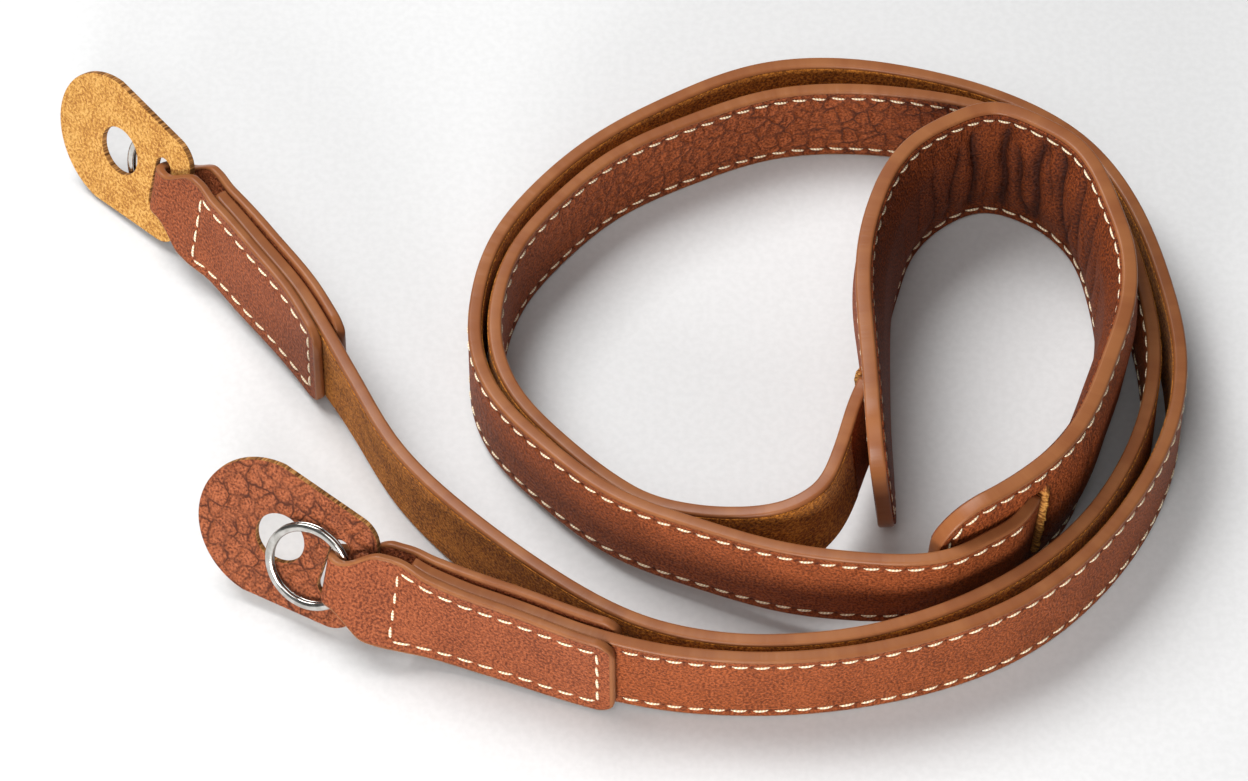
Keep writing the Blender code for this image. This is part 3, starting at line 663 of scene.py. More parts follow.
def add_stitches(name, place, starts, ends):
    """Stitches from starts to ends, arrays (n, 2) of (a, b) on a surface that place(a, b, height)
    takes to space. Each is an arch of seven rings: its height is a half sine that starts and ends in
    the leather, and its rings are hexagons, wider than high. Seeded noise turns each one a little."""
    count = len(starts)
    noise = np.random.default_rng(7).normal(0, 1, (count, 4))
    u = np.linspace(0, 1, 7)[None, :, None]
    turn = np.radians(np.arange(6) * 60)[None, None]
    run = ends - starts
    length = np.linalg.norm(run, axis=1, keepdims=True)
    along = run / length
    across = np.stack([-along[:, 1], along[:, 0]], axis=1)
    slant = across * STITCH_SLANT + across * noise[:, :1] * STITCH_SCATTER
    near = (starts - slant)[:, None, None, :]
    far = (ends + slant)[:, None, None, :]
    middle = near + (far - near) * u[..., None]
    swell = np.sin(np.pi * u) ** 0.5
    radius = THREAD_RADIUS * (0.40 + 0.60 * swell)
    side = radius * np.cos(turn) * 1.15
    lift = (radius * np.sin(turn) * 0.9 + THREAD_RISE * swell - THREAD_SUNK
            + noise[:, 1, None, None] * 0.00001)
    spot = middle + across[:, None, None, :] * side[..., None]
    points = place(spot[..., 0], spot[..., 1], lift)
    lay = u * length[:, :, None] / THREAD_LAY * 2 * np.pi + turn
    ring = np.arange(7 * 6).reshape(7, 6)
    offsets = (np.arange(count) * ring.size)[:, None, None]
    faces = (ring_quads(ring)[None] + offsets).reshape(-1, 4).tolist()
    faces += (ring[0][::-1][None] + offsets[:, 0]).tolist() + (ring[-1][None] + offsets[:, 0]).tolist()
    obj = add_object(skin_mesh(name, points, faces, points[0, 0], points[0, 1], {"lay": lay}), [thread])
    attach(obj, "root")


def stitch_rows(start, end):
    """Starts and ends (s, v) of a strap's stitches, between holes one pitch apart on each line."""
    holes = start + STITCH_PITCH * np.arange(int((end - start) / STITCH_PITCH))
    margin = (STITCH_PITCH - STITCH_LENGTH) / 2
    starts = [np.column_stack([holes + margin, np.full(len(holes), line)]) for line in STITCH_LINES]
    ends = [rows + [STITCH_LENGTH, 0] for rows in starts]
    return np.concatenate(starts), np.concatenate(ends)


def strap_surface(route, side):
    """Point over a strap's grain at s, v and a height over the pressed-in stitch line."""
    base = STRAP_THICKNESS / 2 - STRAP_PRESSED
    return lambda s, v, height: route.place(s, v, side * (base + height))


STRAPS = (("a", route_a, 1), ("b", route_b, -1))
for letter, route, side in STRAPS:
    starts, ends = stitch_rows(STITCH_START, route.length - STITCH_END_GAP)
    add_stitches(f"strap_{letter}_stitches", strap_surface(route, side), starts, ends)


# Neck pad, outer half: the same cowhide over a thin foam sheet, sewn round its edge. Near each tip a slot
# is cut through it, and the strap's skived end goes in under a welt of raw leather.

PAD_TIP_RADIUS = 0.009
PAD_CROWN = 0.0011
PAD_FLAT_START = 0.012
PAD_FLAT_LENGTH = 0.024
PAD_STITCH_INSET = 0.0018
SLOT_HALF_LENGTH = 0.0016
SLOT_HALF_HEIGHT = STRAP_WIDTH / 2 + 0.0006


def smooth_step(x):
    x = np.clip(x, 0, 1)
    return x * x * (3 - 2 * x)


def tip_inset(distance, radius):
    """How far a rounded corner cuts in at a distance from the end: r - sqrt(r^2 - (r - d)^2)."""
    reach = np.clip(radius - distance, 0, radius)
    return radius - np.sqrt(radius ** 2 - reach ** 2)


RIM_SHARES = np.array([0.75, 0.79, 0.815, 0.84, 0.86, 0.88, 0.90, 0.925, 0.95, 0.975])
PAD_ACROSS = np.concatenate([-RIM_SHARES[::-1], np.linspace(-0.70, 0.70, 29), RIM_SHARES])
PAD_CROWN_REACH = 0.0065
PAD_LINE_DEPTH = 0.00022
PAD_LINE_REACH = 0.0007
CREASE_WANDER = 0.0003
CREASE_WAVE = 0.0021
PUCKER_HEIGHT = 0.00011
PUCKER_FROM_LINE = 0.0013
PUCKER_REACH = 0.0011


def pad_stations():
    """Lengths along the pad: crowded in the rounded tips, even between them."""
    tip = PAD_TIP_RADIUS * (1 - np.cos(np.radians(np.linspace(1.5, 90, 26))))
    middle = np.linspace(PAD_TIP_RADIUS, pad_route.length - PAD_TIP_RADIUS, 430)[1:-1]
    return np.concatenate([tip, middle, pad_route.length - tip[::-1]])


def pad_edge_distance(s, v):
    """Distance from a point of the pad to its outline, corners included."""
    near = np.minimum(s, pad_route.length - s)
    side = np.minimum(v, PAD_WIDTH - v)
    r = PAD_TIP_RADIUS
    corner = r - np.hypot(np.clip(r - near, 0, None), np.clip(r - side, 0, None))
    return np.where((near < r) & (side < r), corner, np.minimum(near, side))


def pad_face(s, v, crown, creases):
    """Height of one face of the pad over its edge thickness, and the painted shade of its stitch holes.

    The crown is a smooth step in from the stitching, the stitching lies in a trough, and each crease
    is a sharp valley across the pad: depth x exp(-|distance| / width), wandering by a sine of v. Beside
    the line the leather puckers between the holes: a cosine of the stitch phase times a Gaussian."""
    near = np.minimum(s, pad_route.length - s)
    line = pad_edge_distance(s, v) - PAD_STITCH_INSET
    swell = smooth_step((near - PAD_FLAT_START) / PAD_FLAT_LENGTH)
    height = crown * smooth_step(line / PAD_CROWN_REACH) * (0.25 + 0.75 * swell)
    height = height - PAD_LINE_DEPTH * np.exp(-(line / PAD_LINE_REACH) ** 2)
    for place, depth, width, drift, low, high in creases:
        centre = (place + drift * (v / PAD_WIDTH - 0.5)
                  + CREASE_WANDER * np.sin(v / CREASE_WAVE + place * 900))
        reach = smooth_step((v - low) / 0.003) * smooth_step((high - v) / 0.004)
        height = height - depth * np.exp(-np.abs(s - centre) / width) * reach
    phase = pad_stitch_phase(s, v)
    pit = np.exp(-(line ** 2 + to_nearest_hole(phase) ** 2) / HOLE_RADIUS ** 2)
    pucker = np.cos(2 * np.pi * phase) * np.exp(-((line - PUCKER_FROM_LINE) / PUCKER_REACH) ** 2)
    return height - HOLE_DEPTH * pit - PUCKER_HEIGHT * pucker, pit


def pad_outline(count):
    """Points (s, v) round the pad's stitch line, evenly spaced."""
    inset = PAD_STITCH_INSET
    r = PAD_TIP_RADIUS - inset
    length = pad_route.length
    arcs = []
    for s, v, start in ((PAD_TIP_RADIUS, PAD_WIDTH - PAD_TIP_RADIUS, 180),
                        (length - PAD_TIP_RADIUS, PAD_WIDTH - PAD_TIP_RADIUS, 90),
                        (length - PAD_TIP_RADIUS, PAD_TIP_RADIUS, 0), (PAD_TIP_RADIUS, PAD_TIP_RADIUS, -90)):
        angles = np.radians(np.linspace(start, start - 90, 24))
        arcs.append(np.column_stack([s + r * np.cos(angles), v + r * np.sin(angles)]))
    loop = np.concatenate(arcs + [arcs[0][:1]])
    steps = np.hypot(*np.diff(loop, axis=0).T)
    lengths = np.concatenate([[0], np.cumsum(steps)])
    at = np.linspace(0, lengths[-1], count, endpoint=False)
    return np.column_stack([np.interp(at, lengths, loop[:, 0]), np.interp(at, lengths, loop[:, 1])])


outline_count = int(round(2 * (pad_route.length + PAD_WIDTH - 4 * PAD_STITCH_INSET) * 0.985 / STITCH_PITCH))
pad_holes = pad_outline(outline_count)


def half_outline(fine, upper):
    """Share of the way round against s, for the upper or the lower half of the stitch line."""
    shares = np.arange(len(fine)) / len(fine)
    half = (fine[:, 1] > PAD_WIDTH / 2) == upper
    order = np.argsort(fine[half, 0])
    return fine[half, 0][order], shares[half][order]


lower_half, upper_half = (half_outline(pad_outline(4000), upper) for upper in (False, True))


def pad_stitch_phase(s, v):
    """How many stitches round the line the nearest point to (s, v) lies."""
    share = np.where(v > PAD_WIDTH / 2, np.interp(s, *upper_half), np.interp(s, *lower_half))
    return share * outline_count


PAD_EDGE_RADIUS = 0.00045
PAD_LIFT = 0.0001
PAD_BACK_SUNK = 0.00034
SLOT_DEPTH = 0.0012
WELT_HEIGHT = 0.0009
WELT_FRAY = 0.00012


def finish_pad_half(name, node, points, surface, attributes, look):
    obj = add_tube(name, points, surface, attributes, look)
    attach(obj, "root")
    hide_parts(node)


def make_pad_outer():
    """The pad's body: a rounded outline swept along the route, with its whole painted rim. Its back is
    sunk a little inside the rim, so the lining can lie in it.

    The face is the crown, and each slot is a trough closed by a raised welt: the trough is a product
    of smooth steps, the welt a Gaussian ridge just beyond it, roughened by seeded noise."""
    s = pad_stations()
    near = np.minimum(s, pad_route.length - s)
    half = (PAD_WIDTH / 2 - tip_inset(near, PAD_TIP_RADIUS))[:, None]
    rows = rounded_profile(PAD_WIDTH / 2, PAD_EDGE_THICKNESS / 2 - PAD_LIFT, PAD_EDGE_RADIUS, PAD_ACROSS)
    v = PAD_WIDTH / 2 + rows[:, 0][None] * half + rows[:, 1][None]
    lengths = np.broadcast_to(s[:, None], v.shape)
    thick = rows[:, 2][None]
    rim_round = tip_inset(near, PAD_EDGE_RADIUS)[:, None]
    w = np.sign(thick) * np.maximum(np.abs(thick) - rim_round, 0.0) + PAD_LIFT
    front = np.arange(len(rows)) < len(PAD_ACROSS)
    sunk = PAD_BACK_SUNK * smooth_step((pad_edge_distance(lengths, v) - 0.0006) / 0.0002)
    w = w + sunk * (thick < 0)
    height, pit = pad_face(lengths, v, PAD_CROWN, OUTER_CREASES)
    w[:, front] += height[:, front]
    welt = np.zeros(v.shape)
    fray = np.random.default_rng(11).normal(0, 1, v.shape)
    for centre in PAD_SLOTS:
        high = np.abs(v - PAD_WIDTH / 2)
        cut = (smooth_step((SLOT_HALF_LENGTH - np.abs(lengths - centre)) / 0.0003)
               * smooth_step((SLOT_HALF_HEIGHT - high) / 0.0004))
        beyond = (lengths - centre) * (1 if centre < pad_route.length / 2 else -1)
        lip = (np.exp(-((beyond - SLOT_HALF_LENGTH - 0.0005) / 0.00045) ** 2)
               * smooth_step((SLOT_HALF_HEIGHT + 0.0004 - high) / 0.001))
        w[:, front] += (lip * (WELT_HEIGHT + WELT_FRAY * fray) - SLOT_DEPTH * cut)[:, front]
        welt += lip * front
    face = 0.2 - 1000 * pad_edge_distance(lengths, v)
    paint = np.where(front[None], face, np.where(rows[:, 3][None] < 0, 1.0, rows[:, 3][None]))
    # hole carries the painted shade of the stitch holes.
    finish_pad_half("pad_outer_panel", "pad_outer", pad_route.place(lengths, v, w), (lengths, v),
                    {"paint": paint, "hole": pit * front, "welt": np.clip(welt * 1.6, 0, 1),
                     "loose": 0.22}, pad_leather)


pad_leather = grain_leather("pad_full_grain_cowhide", "#9E5028", "#843F1B", "#5E280E", 1.4, 0.60)
PAD_SLOTS = (PAD_SLOT_FROM_TIP, pad_route.length - PAD_SLOT_FROM_TIP)
OUTER_CREASES = [
    # place, depth, width, drift, low, high
    (0.030, 0.00026, 0.0009, 0.003, 0.006, 0.024),
    (0.152, 0.00024, 0.0009, -0.003, 0.004, 0.022),
]
make_pad_outer()


# Neck pad, lining: soft lambskin-like cowhide, turned to the wearer. The bend gathers it in creases that run
# across the pad, deepest at the top of the bight. Its colours are darker than the pad's as painted shade
# inside the bight, and its crease valleys are darkened with painted shade.

LINING_CROWN = 0.0013
LINING_SKIN = 0.0005
LINING_INSET = 0.00055
LINING_PROUD = 0.00004
LINING_DEEPEST = 0.00046
VALLEY_DEPTH_FULL_SHADE = 0.0012
LINING_CREASES = [
    # place, depth, width, drift, low, high
    (0.0640, 0.00040, 0.0007, 0.003, 0.003, 0.018),
    (0.0690, 0.00070, 0.0009, 0.001, 0.002, 0.022),
    (0.0735, 0.00120, 0.0009, -0.001, 0.001, 0.024),
    (0.0760, 0.00060, 0.0004, 0.004, 0.009, 0.025),
    (0.0795, 0.00140, 0.0009, 0.001, 0.001, 0.025),
    (0.0822, 0.00080, 0.0004, -0.003, 0.002, 0.014),
    (0.0855, 0.00160, 0.0009, 0.002, 0.001, 0.025),
    (0.0880, 0.00070, 0.0004, 0.003, 0.010, 0.025),
    (0.0912, 0.00170, 0.0009, -0.001, 0.001, 0.025),
    (0.0945, 0.00130, 0.0007, 0.002, 0.001, 0.022),
    (0.0975, 0.00170, 0.0009, 0.000, 0.001, 0.025),
    (0.1002, 0.00080, 0.0004, -0.004, 0.003, 0.016),
    (0.1035, 0.00150, 0.0009, 0.002, 0.001, 0.024),
    (0.1075, 0.00110, 0.0009, -0.001, 0.002, 0.022),
    (0.1120, 0.00080, 0.0009, 0.002, 0.002, 0.021),
    (0.1170, 0.00050, 0.0007, -0.001, 0.003, 0.019),
    (0.1240, 0.00035, 0.0008, 0.001, 0.004, 0.018),
]
# Painted shade: the lining's colours are darker than the pad's leather, for the shade inside the bight.
lining_leather = grain_leather("lining_nappa_painted_shade", "#843F18", "#682D0F", "#401806", 1.2, 0.66)


def make_pad_lining():
    """A crowned skin on the pad's back, let in behind the rim: the same outline, a little smaller."""
    s = LINING_INSET + pad_stations() * (pad_route.length - 2 * LINING_INSET) / pad_route.length
    near = np.minimum(s, pad_route.length - s)
    half = (PAD_WIDTH / 2 - tip_inset(near, PAD_TIP_RADIUS))[:, None] - LINING_INSET
    rows = rounded_profile(PAD_WIDTH / 2, LINING_SKIN / 2, LINING_SKIN * 0.4, PAD_ACROSS)
    v = PAD_WIDTH / 2 + rows[:, 0][None] * half + rows[:, 1][None]
    lengths = np.broadcast_to(s[:, None], v.shape)
    front = np.arange(len(rows)) < len(PAD_ACROSS)
    height, pit = pad_face(lengths, v, LINING_CROWN, LINING_CREASES)
    level = rows[:, 2][None] - LINING_SKIN / 2 + PAD_EDGE_THICKNESS / 2 + LINING_PROUD
    w = level + np.maximum(height, -LINING_DEEPEST) * front
    # Painted shade: crease valleys are darkened through hole and, with more pebble-crease shade, through
    # loose, in full at the depth VALLEY_DEPTH_FULL_SHADE.
    valley = np.clip((pad_face(lengths, v, LINING_CROWN, ())[0] - height) / VALLEY_DEPTH_FULL_SHADE, 0, 1) ** 1.5
    finish_pad_half("pad_lining_panel", "pad_lining", pad_route.place(lengths, v, -w), (lengths, v),
                    {"paint": -5.0, "hole": (np.maximum(pit, 0.85 * valley) * front),
                     "loose": 0.12 + 0.4 * valley}, lining_leather)


make_pad_lining()

PAD_THREAD_DEEPEST = 0.00015
PAD_THREAD_LIFT = 0.00006
for side, crown, creases, label, goes_with in (
        (1, PAD_CROWN, OUTER_CREASES, "outer", "grain_leather"),
        (-1, LINING_CROWN, LINING_CREASES, "lining", "lining_leather")):
    def pad_surface(s, v, height, side=side, crown=crown, creases=creases):
        line = np.broadcast_to(s, np.broadcast(s, v, height).shape)
        face = pad_face(line, np.broadcast_to(v, line.shape), crown, creases)[0]
        level = PAD_EDGE_THICKNESS / 2 + np.maximum(face, -PAD_THREAD_DEEPEST) + PAD_THREAD_LIFT
        return pad_route.place(line, v, side * (level + height))
    following = np.roll(pad_holes, -1, axis=0)
    step = following - pad_holes
    margin = (1 - STITCH_LENGTH / STITCH_PITCH) / 2
    add_stitches(f"pad_{label}_stitches", pad_surface, pad_holes + step * margin,
                 following - step * margin)


# End tabs: a shaped piece of the same cowhide, folded through the protector's slot and over the split
# ring, then stitched in a box through the strap's end. Its edges are painted like the strap's.

TAB_WIDTH = 0.0165
TAB_THICKNESS = 0.0015
TAB_LENGTH = 0.045
TAB_NECK_WIDTH = 0.0082
TAB_SHOULDER_LENGTH = 0.0064
TAB_TAPER = 0.0010
TAB_TAPER_LENGTH = 0.0220
TAB_CORNER_RADIUS = 0.003
TAB_OVERLAP_START = 0.0118
TAB_PLAY = 0.00018
TAB_STRAIGHT = 0.0090
PROTECTOR_THICKNESS = 0.0011
PROTECTOR_BASE_LENGTH = 0.0056
RING_WIRE = 0.0013
RING_CLEARANCE = 0.0003
BOX_START = 0.0110
BOX_END = TAB_LENGTH - 0.0025
TAB_STITCH_INSET = 0.0022
TAB_PRESSED = 0.00008
TAB_LINE_DEPTH = 0.00016
TAB_LINE_REACH = 0.0006
TAB_END_ROUND = 0.0006

tab_leather = grain_leather("tab_full_grain_cowhide", "#9E5633", "#844325", "#5E2A14", 1.4, 0.60)


def tab_half_width(along, end_distance):
    """Half the tab's width: neck, smooth-step shoulder, slightly tapered body, far corners' arcs."""
    grown = smooth_step((along - TAB_THICKNESS) / TAB_SHOULDER_LENGTH)
    tapered = TAB_TAPER * (1 - np.clip(along / TAB_TAPER_LENGTH, 0, 1))
    half = TAB_NECK_WIDTH / 2 + grown * ((TAB_WIDTH - TAB_NECK_WIDTH) / 2 - tapered)
    return half - tip_inset(end_distance, TAB_CORNER_RADIUS)


def tab_path():
    """The folded strip's middle line: lengths from the slot, distances from the middle, unit normals."""
    half = TAB_THICKNESS / 2
    body_w = STRAP_THICKNESS / 2 + TAB_PLAY + half
    back_w = PROTECTOR_THICKNESS / 2 + TAB_PLAY + half
    front_w = PROTECTOR_THICKNESS / 2 + RING_CLEARANCE + RING_WIRE + TAB_PLAY + half
    base, start = TAB_STRAIGHT, TAB_OVERLAP_START
    fold = np.array([
        (start + 0.0022, -body_w), (start, -body_w), (base, -(back_w + body_w) / 2),
        (base * 0.6, -back_w), (base * 0.30, -back_w * 1.03), (TAB_THICKNESS, -back_w * 1.02),
        (TAB_THICKNESS * 0.36, -back_w * 0.85), (0.0, -half * 1.1), (0.0, front_w * 0.42),
        (TAB_THICKNESS * 0.24, front_w * 0.76), (TAB_THICKNESS, front_w * 0.98),
        (base * 0.35, front_w * 1.06), (base * 0.65, front_w * 0.99), (base, (front_w + body_w) / 2),
        (start, body_w), (start + 0.0022, body_w)])
    chords = np.concatenate([[0.0], np.cumsum(np.hypot(*np.diff(fold, axis=0).T))])
    t = np.linspace(0, chords[-1], 150)
    centre, slope = spline_at(chords, fold, spline_second(chords, fold), t)
    last = TAB_LENGTH - 0.0003
    flat = np.concatenate([np.arange(start + 0.0028, last - TAB_CORNER_RADIUS, 0.0006),
                           last - TAB_CORNER_RADIUS * np.cos(np.radians(np.linspace(0, 89, 22)))])
    round_end = TAB_LENGTH - TAB_END_ROUND * (1 - np.sin(np.radians([30, 60, 90])))
    flat = np.sort(np.concatenate([flat, round_end]))
    along = np.concatenate([flat[::-1], centre[:, 0], flat])
    away = np.concatenate([np.full(len(flat), -body_w), centre[:, 1], np.full(len(flat), body_w)])
    unit = slope / np.linalg.norm(slope, axis=1)[:, None]
    tangent = np.concatenate([np.tile((-1.0, 0.0), (len(flat), 1)), unit,
                              np.tile((1.0, 0.0), (len(flat), 1))])
    return along, away, np.stack([-tangent[:, 1], tangent[:, 0]], axis=1)


def tab_box_distance(s, v):
    """Signed distance from the stitched box's line, below zero inside it."""
    middle = (BOX_START + BOX_END) / 2
    outside_s = np.abs(s - middle) - (BOX_END - BOX_START) / 2
    outside_v = np.abs(v - STRAP_WIDTH / 2) - (TAB_WIDTH / 2 - TAB_STITCH_INSET)
    return np.maximum(outside_s, outside_v)


def make_tab(letter, route, side):
    """The folded tab: the rounded profile carried along its middle line, with the width worked out at
    each length, thinned to a round at its two ends and pressed in along the box of stitches."""
    along, away, normal = tab_path()
    width = tab_half_width(along, TAB_LENGTH - along)
    half = TAB_THICKNESS / 2
    to_end = np.clip((TAB_LENGTH - along) / TAB_END_ROUND, 0, 1)
    thin = np.sqrt(np.clip(1 - (1 - to_end) ** 2, 0.02, 1))
    rows = rounded_profile(TAB_WIDTH / 2, half, 0.00045, ACROSS)
    v = STRAP_WIDTH / 2 + rows[:, 0][None] * width[:, None] + rows[:, 1][None]
    thick = rows[:, 2][None] * thin[:, None]
    s_grid = np.broadcast_to(along[:, None], v.shape)
    line = tab_box_distance(s_grid, v)
    groove = TAB_LINE_DEPTH * np.exp(-(line / TAB_LINE_REACH) ** 2)
    thick = thick + groove * np.sign(-thick) * (along > TAB_OVERLAP_START - 0.001)[:, None]
    s = along[:, None] + normal[:, 0][:, None] * thick
    w = away[:, None] + normal[:, 1][:, None] * thick
    face_distance = np.minimum(-rows[:, 3][None], 1000 * (TAB_LENGTH - along)[:, None])
    paint = np.where(rows[:, 3][None] < 0, -face_distance, rows[:, 3][None])
    paint = np.where(TAB_LENGTH - along[:, None] < TAB_END_ROUND, 1.0, paint)
    points = route.place(s - TAB_STRAIGHT, v, side * w)
    run = np.concatenate([[0.0], np.cumsum(np.hypot(np.diff(along), np.diff(away)))])
    obj = add_tube(f"end_tab_{letter}_leather", points, (run[:, None], v),
                   {"paint": paint, "loose": 0.15}, tab_leather)
    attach(obj, "root")
    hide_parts(f"end_tab_{letter}")


def box_stitches(route, side, face, name):
    """The box of stitches on one face of a tab. face is 1 for the ring's side, -1 for the back."""
    top = STRAP_WIDTH / 2 + TAB_WIDTH / 2 - TAB_STITCH_INSET
    low = STRAP_WIDTH - top
    corners = [(BOX_START, low), (BOX_START, top), (BOX_END, top), (BOX_END, low), (BOX_START, low)]
    starts, ends = [], []
    for (s0, v0), (s1, v1) in zip(corners, corners[1:]):
        length = math.hypot(s1 - s0, v1 - v0)
        count = max(1, round(length / STITCH_PITCH))
        t = np.linspace(0, 1, count + 1)[:, None]
        holes = np.array([(s0, v0)]) + t * np.array([(s1 - s0, v1 - v0)])
        gap = (holes[1] - holes[0]) * 0.11
        starts.append(holes[:-1] + gap)
        ends.append(holes[1:] - gap)
    level = STRAP_THICKNESS / 2 + TAB_PLAY + TAB_THICKNESS - TAB_PRESSED

    def surface(s, v, height):
        return route.place(s - TAB_STRAIGHT, v, side * face * (level + height))
    add_stitches(name, surface, np.concatenate(starts), np.concatenate(ends))


for letter, route, side in STRAPS:
    make_tab(letter, route, side)
    box_stitches(route, side, 1, f"end_tab_{letter}_front_stitches")
    box_stitches(route, side, -1, f"end_tab_{letter}_back_stitches")


# Lug protectors: die-cut cowhide that keeps the ring off the camera's finish. The grain side is coarse
# and pebbled, the back is raw golden suede, and the cut edge is left unpainted.

PROTECTOR_ROUND_RADIUS = 0.0116
PROTECTOR_BASE_WIDTH = 0.0200
PROTECTOR_BASE_RADIUS = 0.0045
HOLE_DIAMETER = 0.0080
HOLE_FROM_SLOT = 0.0094
HOLE_FROM_TIP = 0.0138
PROTECTOR_SLOT_LENGTH = 0.0102
PROTECTOR_SLOT_WIDTH = 0.0033
PROTECTOR_BEVEL = 0.00016
END_TILT_DEG = {"a": 8.0, "b": 2.5}
END_DROP = {"a": 0.0007, "b": 0.0004}

protector_grain = grain_leather("protector_pebbled_cowhide", "#A35C3A", "#8B4A2B", "#5E2C18", 2.7, 0.60)
protector_suede = suede("protector_raw_suede", "#D5A45C", "#BE8840", "#965F28")
raw_edge = suede("protector_cut_edge", "#B5824A", "#85592E", "#553417")


def arc(x, z, radius, start, end, count):
    """Points of an arc about (x, z), angles in degrees."""
    angles = np.radians(np.linspace(start, end, count))
    return np.column_stack([x + radius * np.cos(angles), z + radius * np.sin(angles)])


def protector_loops():
    """The outline, the hole and the slot as closed loops, the slot on the origin and X to the tip."""
    round_x = HOLE_FROM_SLOT + HOLE_FROM_TIP - PROTECTOR_ROUND_RADIUS
    corner_x = -PROTECTOR_BASE_LENGTH + PROTECTOR_BASE_RADIUS
    corner_z = PROTECTOR_BASE_WIDTH / 2 - PROTECTOR_BASE_RADIUS
    outline = np.concatenate([arc(round_x, 0, PROTECTOR_ROUND_RADIUS, -86, 86, 73),
                              arc(corner_x, corner_z, PROTECTOR_BASE_RADIUS, 94, 180, 19),
                              arc(corner_x, -corner_z, PROTECTOR_BASE_RADIUS, 180, 266, 19)])
    hole = arc(HOLE_FROM_SLOT, 0, HOLE_DIAMETER / 2, 0, 352.5, 48)
    straight = (PROTECTOR_SLOT_LENGTH - PROTECTOR_SLOT_WIDTH) / 2
    slot = np.concatenate([arc(0, straight, PROTECTOR_SLOT_WIDTH / 2, 0, 180, 13),
                           arc(0, -straight, PROTECTOR_SLOT_WIDTH / 2, 180, 360, 13)])
    return outline, hole, slot


def end_place(route, drop, out, tilt_deg):
    """A map from a plate's own x, y and z to space: x runs back along the route to the plate's tip, y is
    outward and z up the leaning strip, turned by the tilt about y."""
    point, outward, rise, lean = (value[0] for value in route.frame(-TAB_STRAIGHT))
    y_axis = np.array([outward[0] * math.cos(lean), outward[1] * math.cos(lean), -math.sin(lean)])
    z_axis = np.array([outward[0] * math.sin(lean), outward[1] * math.sin(lean), math.cos(lean)])
    x_axis = np.cross(y_axis, z_axis)
    middle = np.array([point[0], point[1], route.middle_height(rise, lean)]) + route.shift
    tilt = math.radians(tilt_deg)
    turned_x = x_axis * math.cos(tilt) + z_axis * math.sin(tilt)
    turned_z = z_axis * math.cos(tilt) - x_axis * math.sin(tilt)
    origin = middle + z_axis * drop + x_axis * out
    return lambda points: origin + points @ np.array([turned_x, y_axis, turned_z])


def make_protector(letter, route, side):
    """A plate filled between its loops, given its thickness, with a small bevel on every rim."""
    bm = bmesh.new()
    edges = []
    for loop in protector_loops():
        verts = [bm.verts.new((x, -side * PROTECTOR_THICKNESS / 2, z)) for x, z in loop]
        edges += [bm.edges.new(pair) for pair in zip(verts, verts[1:] + verts[:1])]
    filled = bmesh.ops.triangle_fill(bm, use_beauty=True, edges=edges)
    faces = [item for item in filled["geom"] if isinstance(item, bmesh.types.BMFace)]
    moved = bmesh.ops.extrude_face_region(bm, geom=faces, use_keep_orig=True)
    far = [item for item in moved["geom"] if isinstance(item, bmesh.types.BMVert)]
    bmesh.ops.translate(bm, vec=(0, side * PROTECTOR_THICKNESS, 0), verts=far)
    bmesh.ops.recalc_face_normals(bm, faces=bm.faces)
    for face in bm.faces:
        facing = face.normal.y * side
        face.material_index = 0 if facing > 0.5 else 1 if facing < -0.5 else 2
    mesh = bpy.data.meshes.new(f"lug_protector_{letter}_plate")
    bm.to_mesh(mesh)
    bm.free()
    points = np.empty(len(mesh.vertices) * 3)
    mesh.vertices.foreach_get("co", points)
    place = end_place(route, END_DROP[letter], 0.0, END_TILT_DEG[letter])
    mesh.vertices.foreach_set("co", place(points.reshape(-1, 3)).ravel())
    add_surface_map(mesh, points.reshape(-1, 3)[:, [0, 2]])
    add_attributes(mesh, {"paint": -10.0, "loose": 1.0}, len(mesh.vertices))
    obj = add_object(mesh, (protector_grain, protector_suede, raw_edge))
    bevel = obj.modifiers.new("rim", "BEVEL")
    bevel.width = PROTECTOR_BEVEL
    bevel.segments = 2
    bevel.limit_method = "ANGLE"
    bevel.angle_limit = math.radians(60)
    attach(obj, "root")
    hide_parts(f"lug_protector_{letter}")


for letter, route, side in STRAPS:
    make_protector(letter, route, side)


# Split rings: spring steel wire, rolled flat and coiled for two turns, then barrel-polished and nickel
# plated. They hang in the tab's fold, against the protector's grain.

RING_OUTER_DIAMETER = 0.0142
RING_OUT = {"a": 0.0036, "b": 0.0020}
RING_END_DEG = {"a": 215.0, "b": 40.0}
RING_STEP_DEG = 16.0


def polished_steel():
    """Nickel-plated spring steel, barrel-polished: a clear mirror with faint wear marks, and its colour is
    painted dark as shade in the groove between its two turns, where they face each other."""
    material, shader = new_material("polished_split_ring_steel", 0.16, metallic=1.0)
    place = add_node(material, "ShaderNodeTexCoord").outputs["Object"]
    wear = add_node(material, "ShaderNodeTexNoise", {"Vector": place, "Scale": 700.0, "Detail": 3.0})
    tone = ramp(material, wear, [(0.35, "#B4B1AB"), (0.65, "#D2CFCA")])
    # Painted shade: the faces of the groove between the turns are darkened towards #35302C.
    painted_groove_shade = map_range(material, attribute(material, "groove"), low=0.25, high=0.65)
    link(material, mix(material, painted_groove_shade, tone, linear("#35302C")), shader, "Base Color")
    link(material, map_range(material, wear, to_low=0.10, to_high=0.24), shader, "Roughness")
    add_bump(material, shader, wear, 0.15, 0.0001)
    return material


ring_steel = polished_steel()


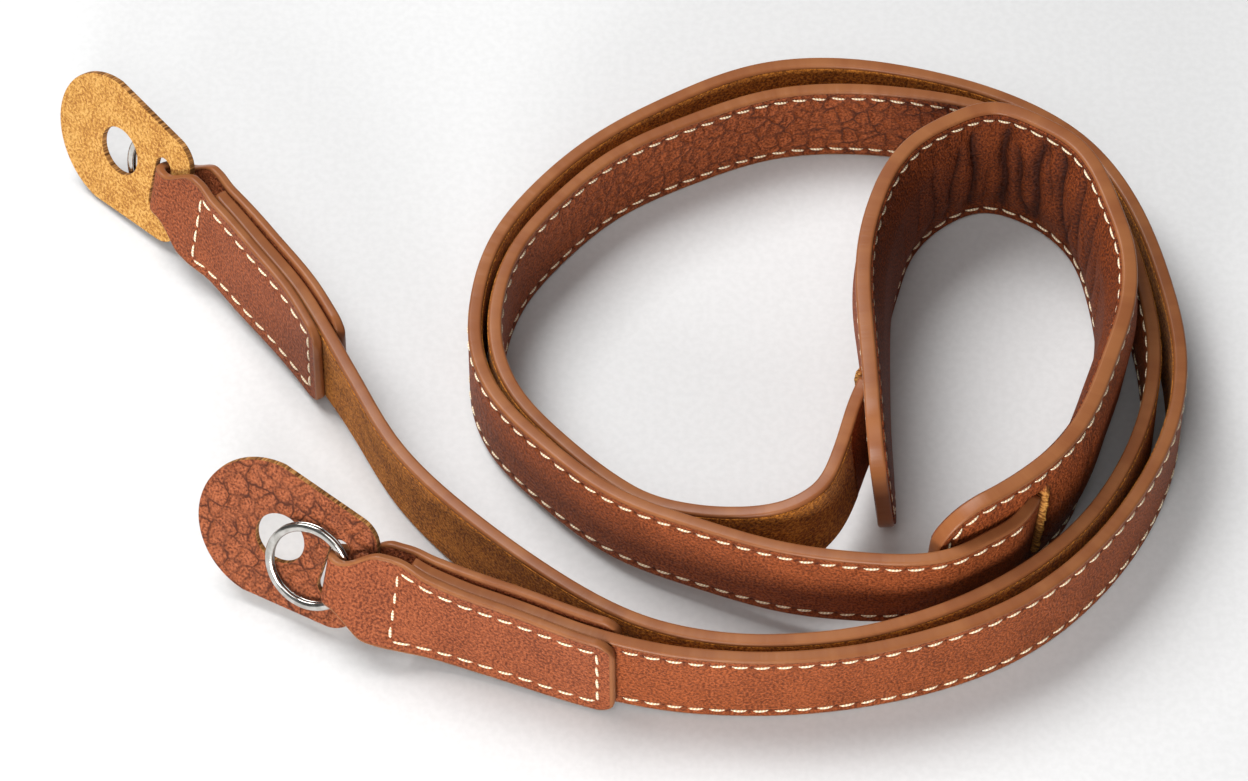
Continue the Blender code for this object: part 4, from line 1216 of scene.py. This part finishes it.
def make_ring(letter, route, side):
    """Two flat turns: the wire's middle is at (R cos a, step(a), R sin a), and step moves it from the lower
    turn to the upper one by a smooth step about the first full turn. Each turn's section is an ellipse, and
    the attribute groove is 1 where it faces the other turn; the steel paints those faces dark as shade."""
    major = (RING_OUTER_DIAMETER - RING_WIRE) / 2
    turn = np.radians(np.linspace(RING_STEP_DEG, 720 - RING_STEP_DEG, 340))
    share = smooth_step((np.degrees(turn) - 360 + RING_STEP_DEG) / (2 * RING_STEP_DEG))
    level = (share - 0.5) * RING_WIRE / 2 * 0.98
    around = np.radians(np.arange(16) * 22.5)
    radial = np.cos(around) * RING_WIRE / 2
    axial = np.sin(around) * RING_WIRE / 4 * 0.94
    angle = turn[:, None] + math.radians(RING_END_DEG[letter])
    reach = major + radial[None]
    away = side * (PROTECTOR_THICKNESS / 2 + RING_CLEARANCE + RING_WIRE / 2)
    points = np.stack([reach * np.cos(angle), away + level[:, None] + axial[None],
                       reach * np.sin(angle)], axis=-1)
    place = end_place(route, 0.0, RING_OUT[letter], 0.0)
    surface = (turn[:, None] * major, around[None] * RING_WIRE / 2)
    inner = np.where(share[:, None] < 0.5, axial[None], -axial[None]) / (RING_WIRE / 4)
    obj = add_tube(f"split_ring_{letter}_wire", place(points), surface, {"groove": inner}, ring_steel)
    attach(obj, "root")
    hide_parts(f"split_ring_{letter}")


for letter, route, side in STRAPS:
    make_ring(letter, route, side)


# The floor: a seamless sheet of white studio paper.

def studio_paper():
    """Uncoated white paper: matt and even, with hardly any tooth at this distance."""
    material, shader = new_material("white_studio_paper", 0.9, specular=0.1)
    place = add_node(material, "ShaderNodeTexCoord").outputs["Object"]
    tooth = add_node(material, "ShaderNodeTexNoise", {"Vector": place, "Scale": 900.0})
    tone = ramp(material, tooth, [(0.3, "#C9C9C9"), (0.7, "#CDCDCD")])
    link(material, tone, shader, "Base Color")
    return material


floor_mesh = bpy.data.meshes.new("studio_floor")
reach = 4.0
floor_mesh.from_pydata([(-reach, -reach, 0), (reach, -reach, 0), (reach, reach, 0), (-reach, reach, 0)],
                       [], [(0, 1, 2, 3)])
floor = add_object(floor_mesh, [studio_paper()])


# Light: a dim white room, a low soft box in front, which rakes the nearest faces, a weak one high in
# front, and one high behind on the left, which lights the rims and leaves the gaps dark.

world = bpy.data.worlds.new("white_room")
world.use_nodes = True
world.node_tree.nodes["Background"].inputs["Color"].default_value = (1.0, 1.0, 1.0, 1.0)
world.node_tree.nodes["Background"].inputs["Strength"].default_value = 0.12
bpy.context.scene.world = world
bpy.context.scene.view_settings.view_transform = "Standard"


def add_soft_box(name, place, size, power):
    """An area light that faces the coil's middle."""
    light = bpy.data.lights.new(name, "AREA")
    light.shape = "SQUARE"
    light.size = size
    light.energy = power
    obj = bpy.data.objects.new(name, light)
    obj.location = place
    obj.rotation_euler = (Vector((0.03, 0, 0)) - Vector(place)).to_track_quat("-Z", "Y").to_euler()
    bpy.context.scene.collection.objects.link(obj)


add_soft_box("soft_box_low_front", (-0.14, -0.62, 0.15), 0.24, 4.8)
add_soft_box("soft_box_high_front", (-0.07, -0.45, 0.64), 0.40, 1.7)
add_soft_box("soft_box_high_back", (-0.36, 0.34, 0.80), 0.60, 12.5)

# The camera: a long lens that looks down at 51 degrees from in front, as in the photograph.

camera_data = bpy.data.cameras.new("camera")
camera_data.lens = 150.0
camera_data.sensor_width = 36.0
camera_data.clip_start = 0.01
camera_data.clip_end = 20.0
camera = bpy.data.objects.new("camera", camera_data)
camera.location = (0.00206, -0.5000, 0.6217)
camera.rotation_euler = (math.radians(39.0), 0.0, 0.0)
bpy.context.scene.collection.objects.link(camera)
bpy.context.scene.camera = camera
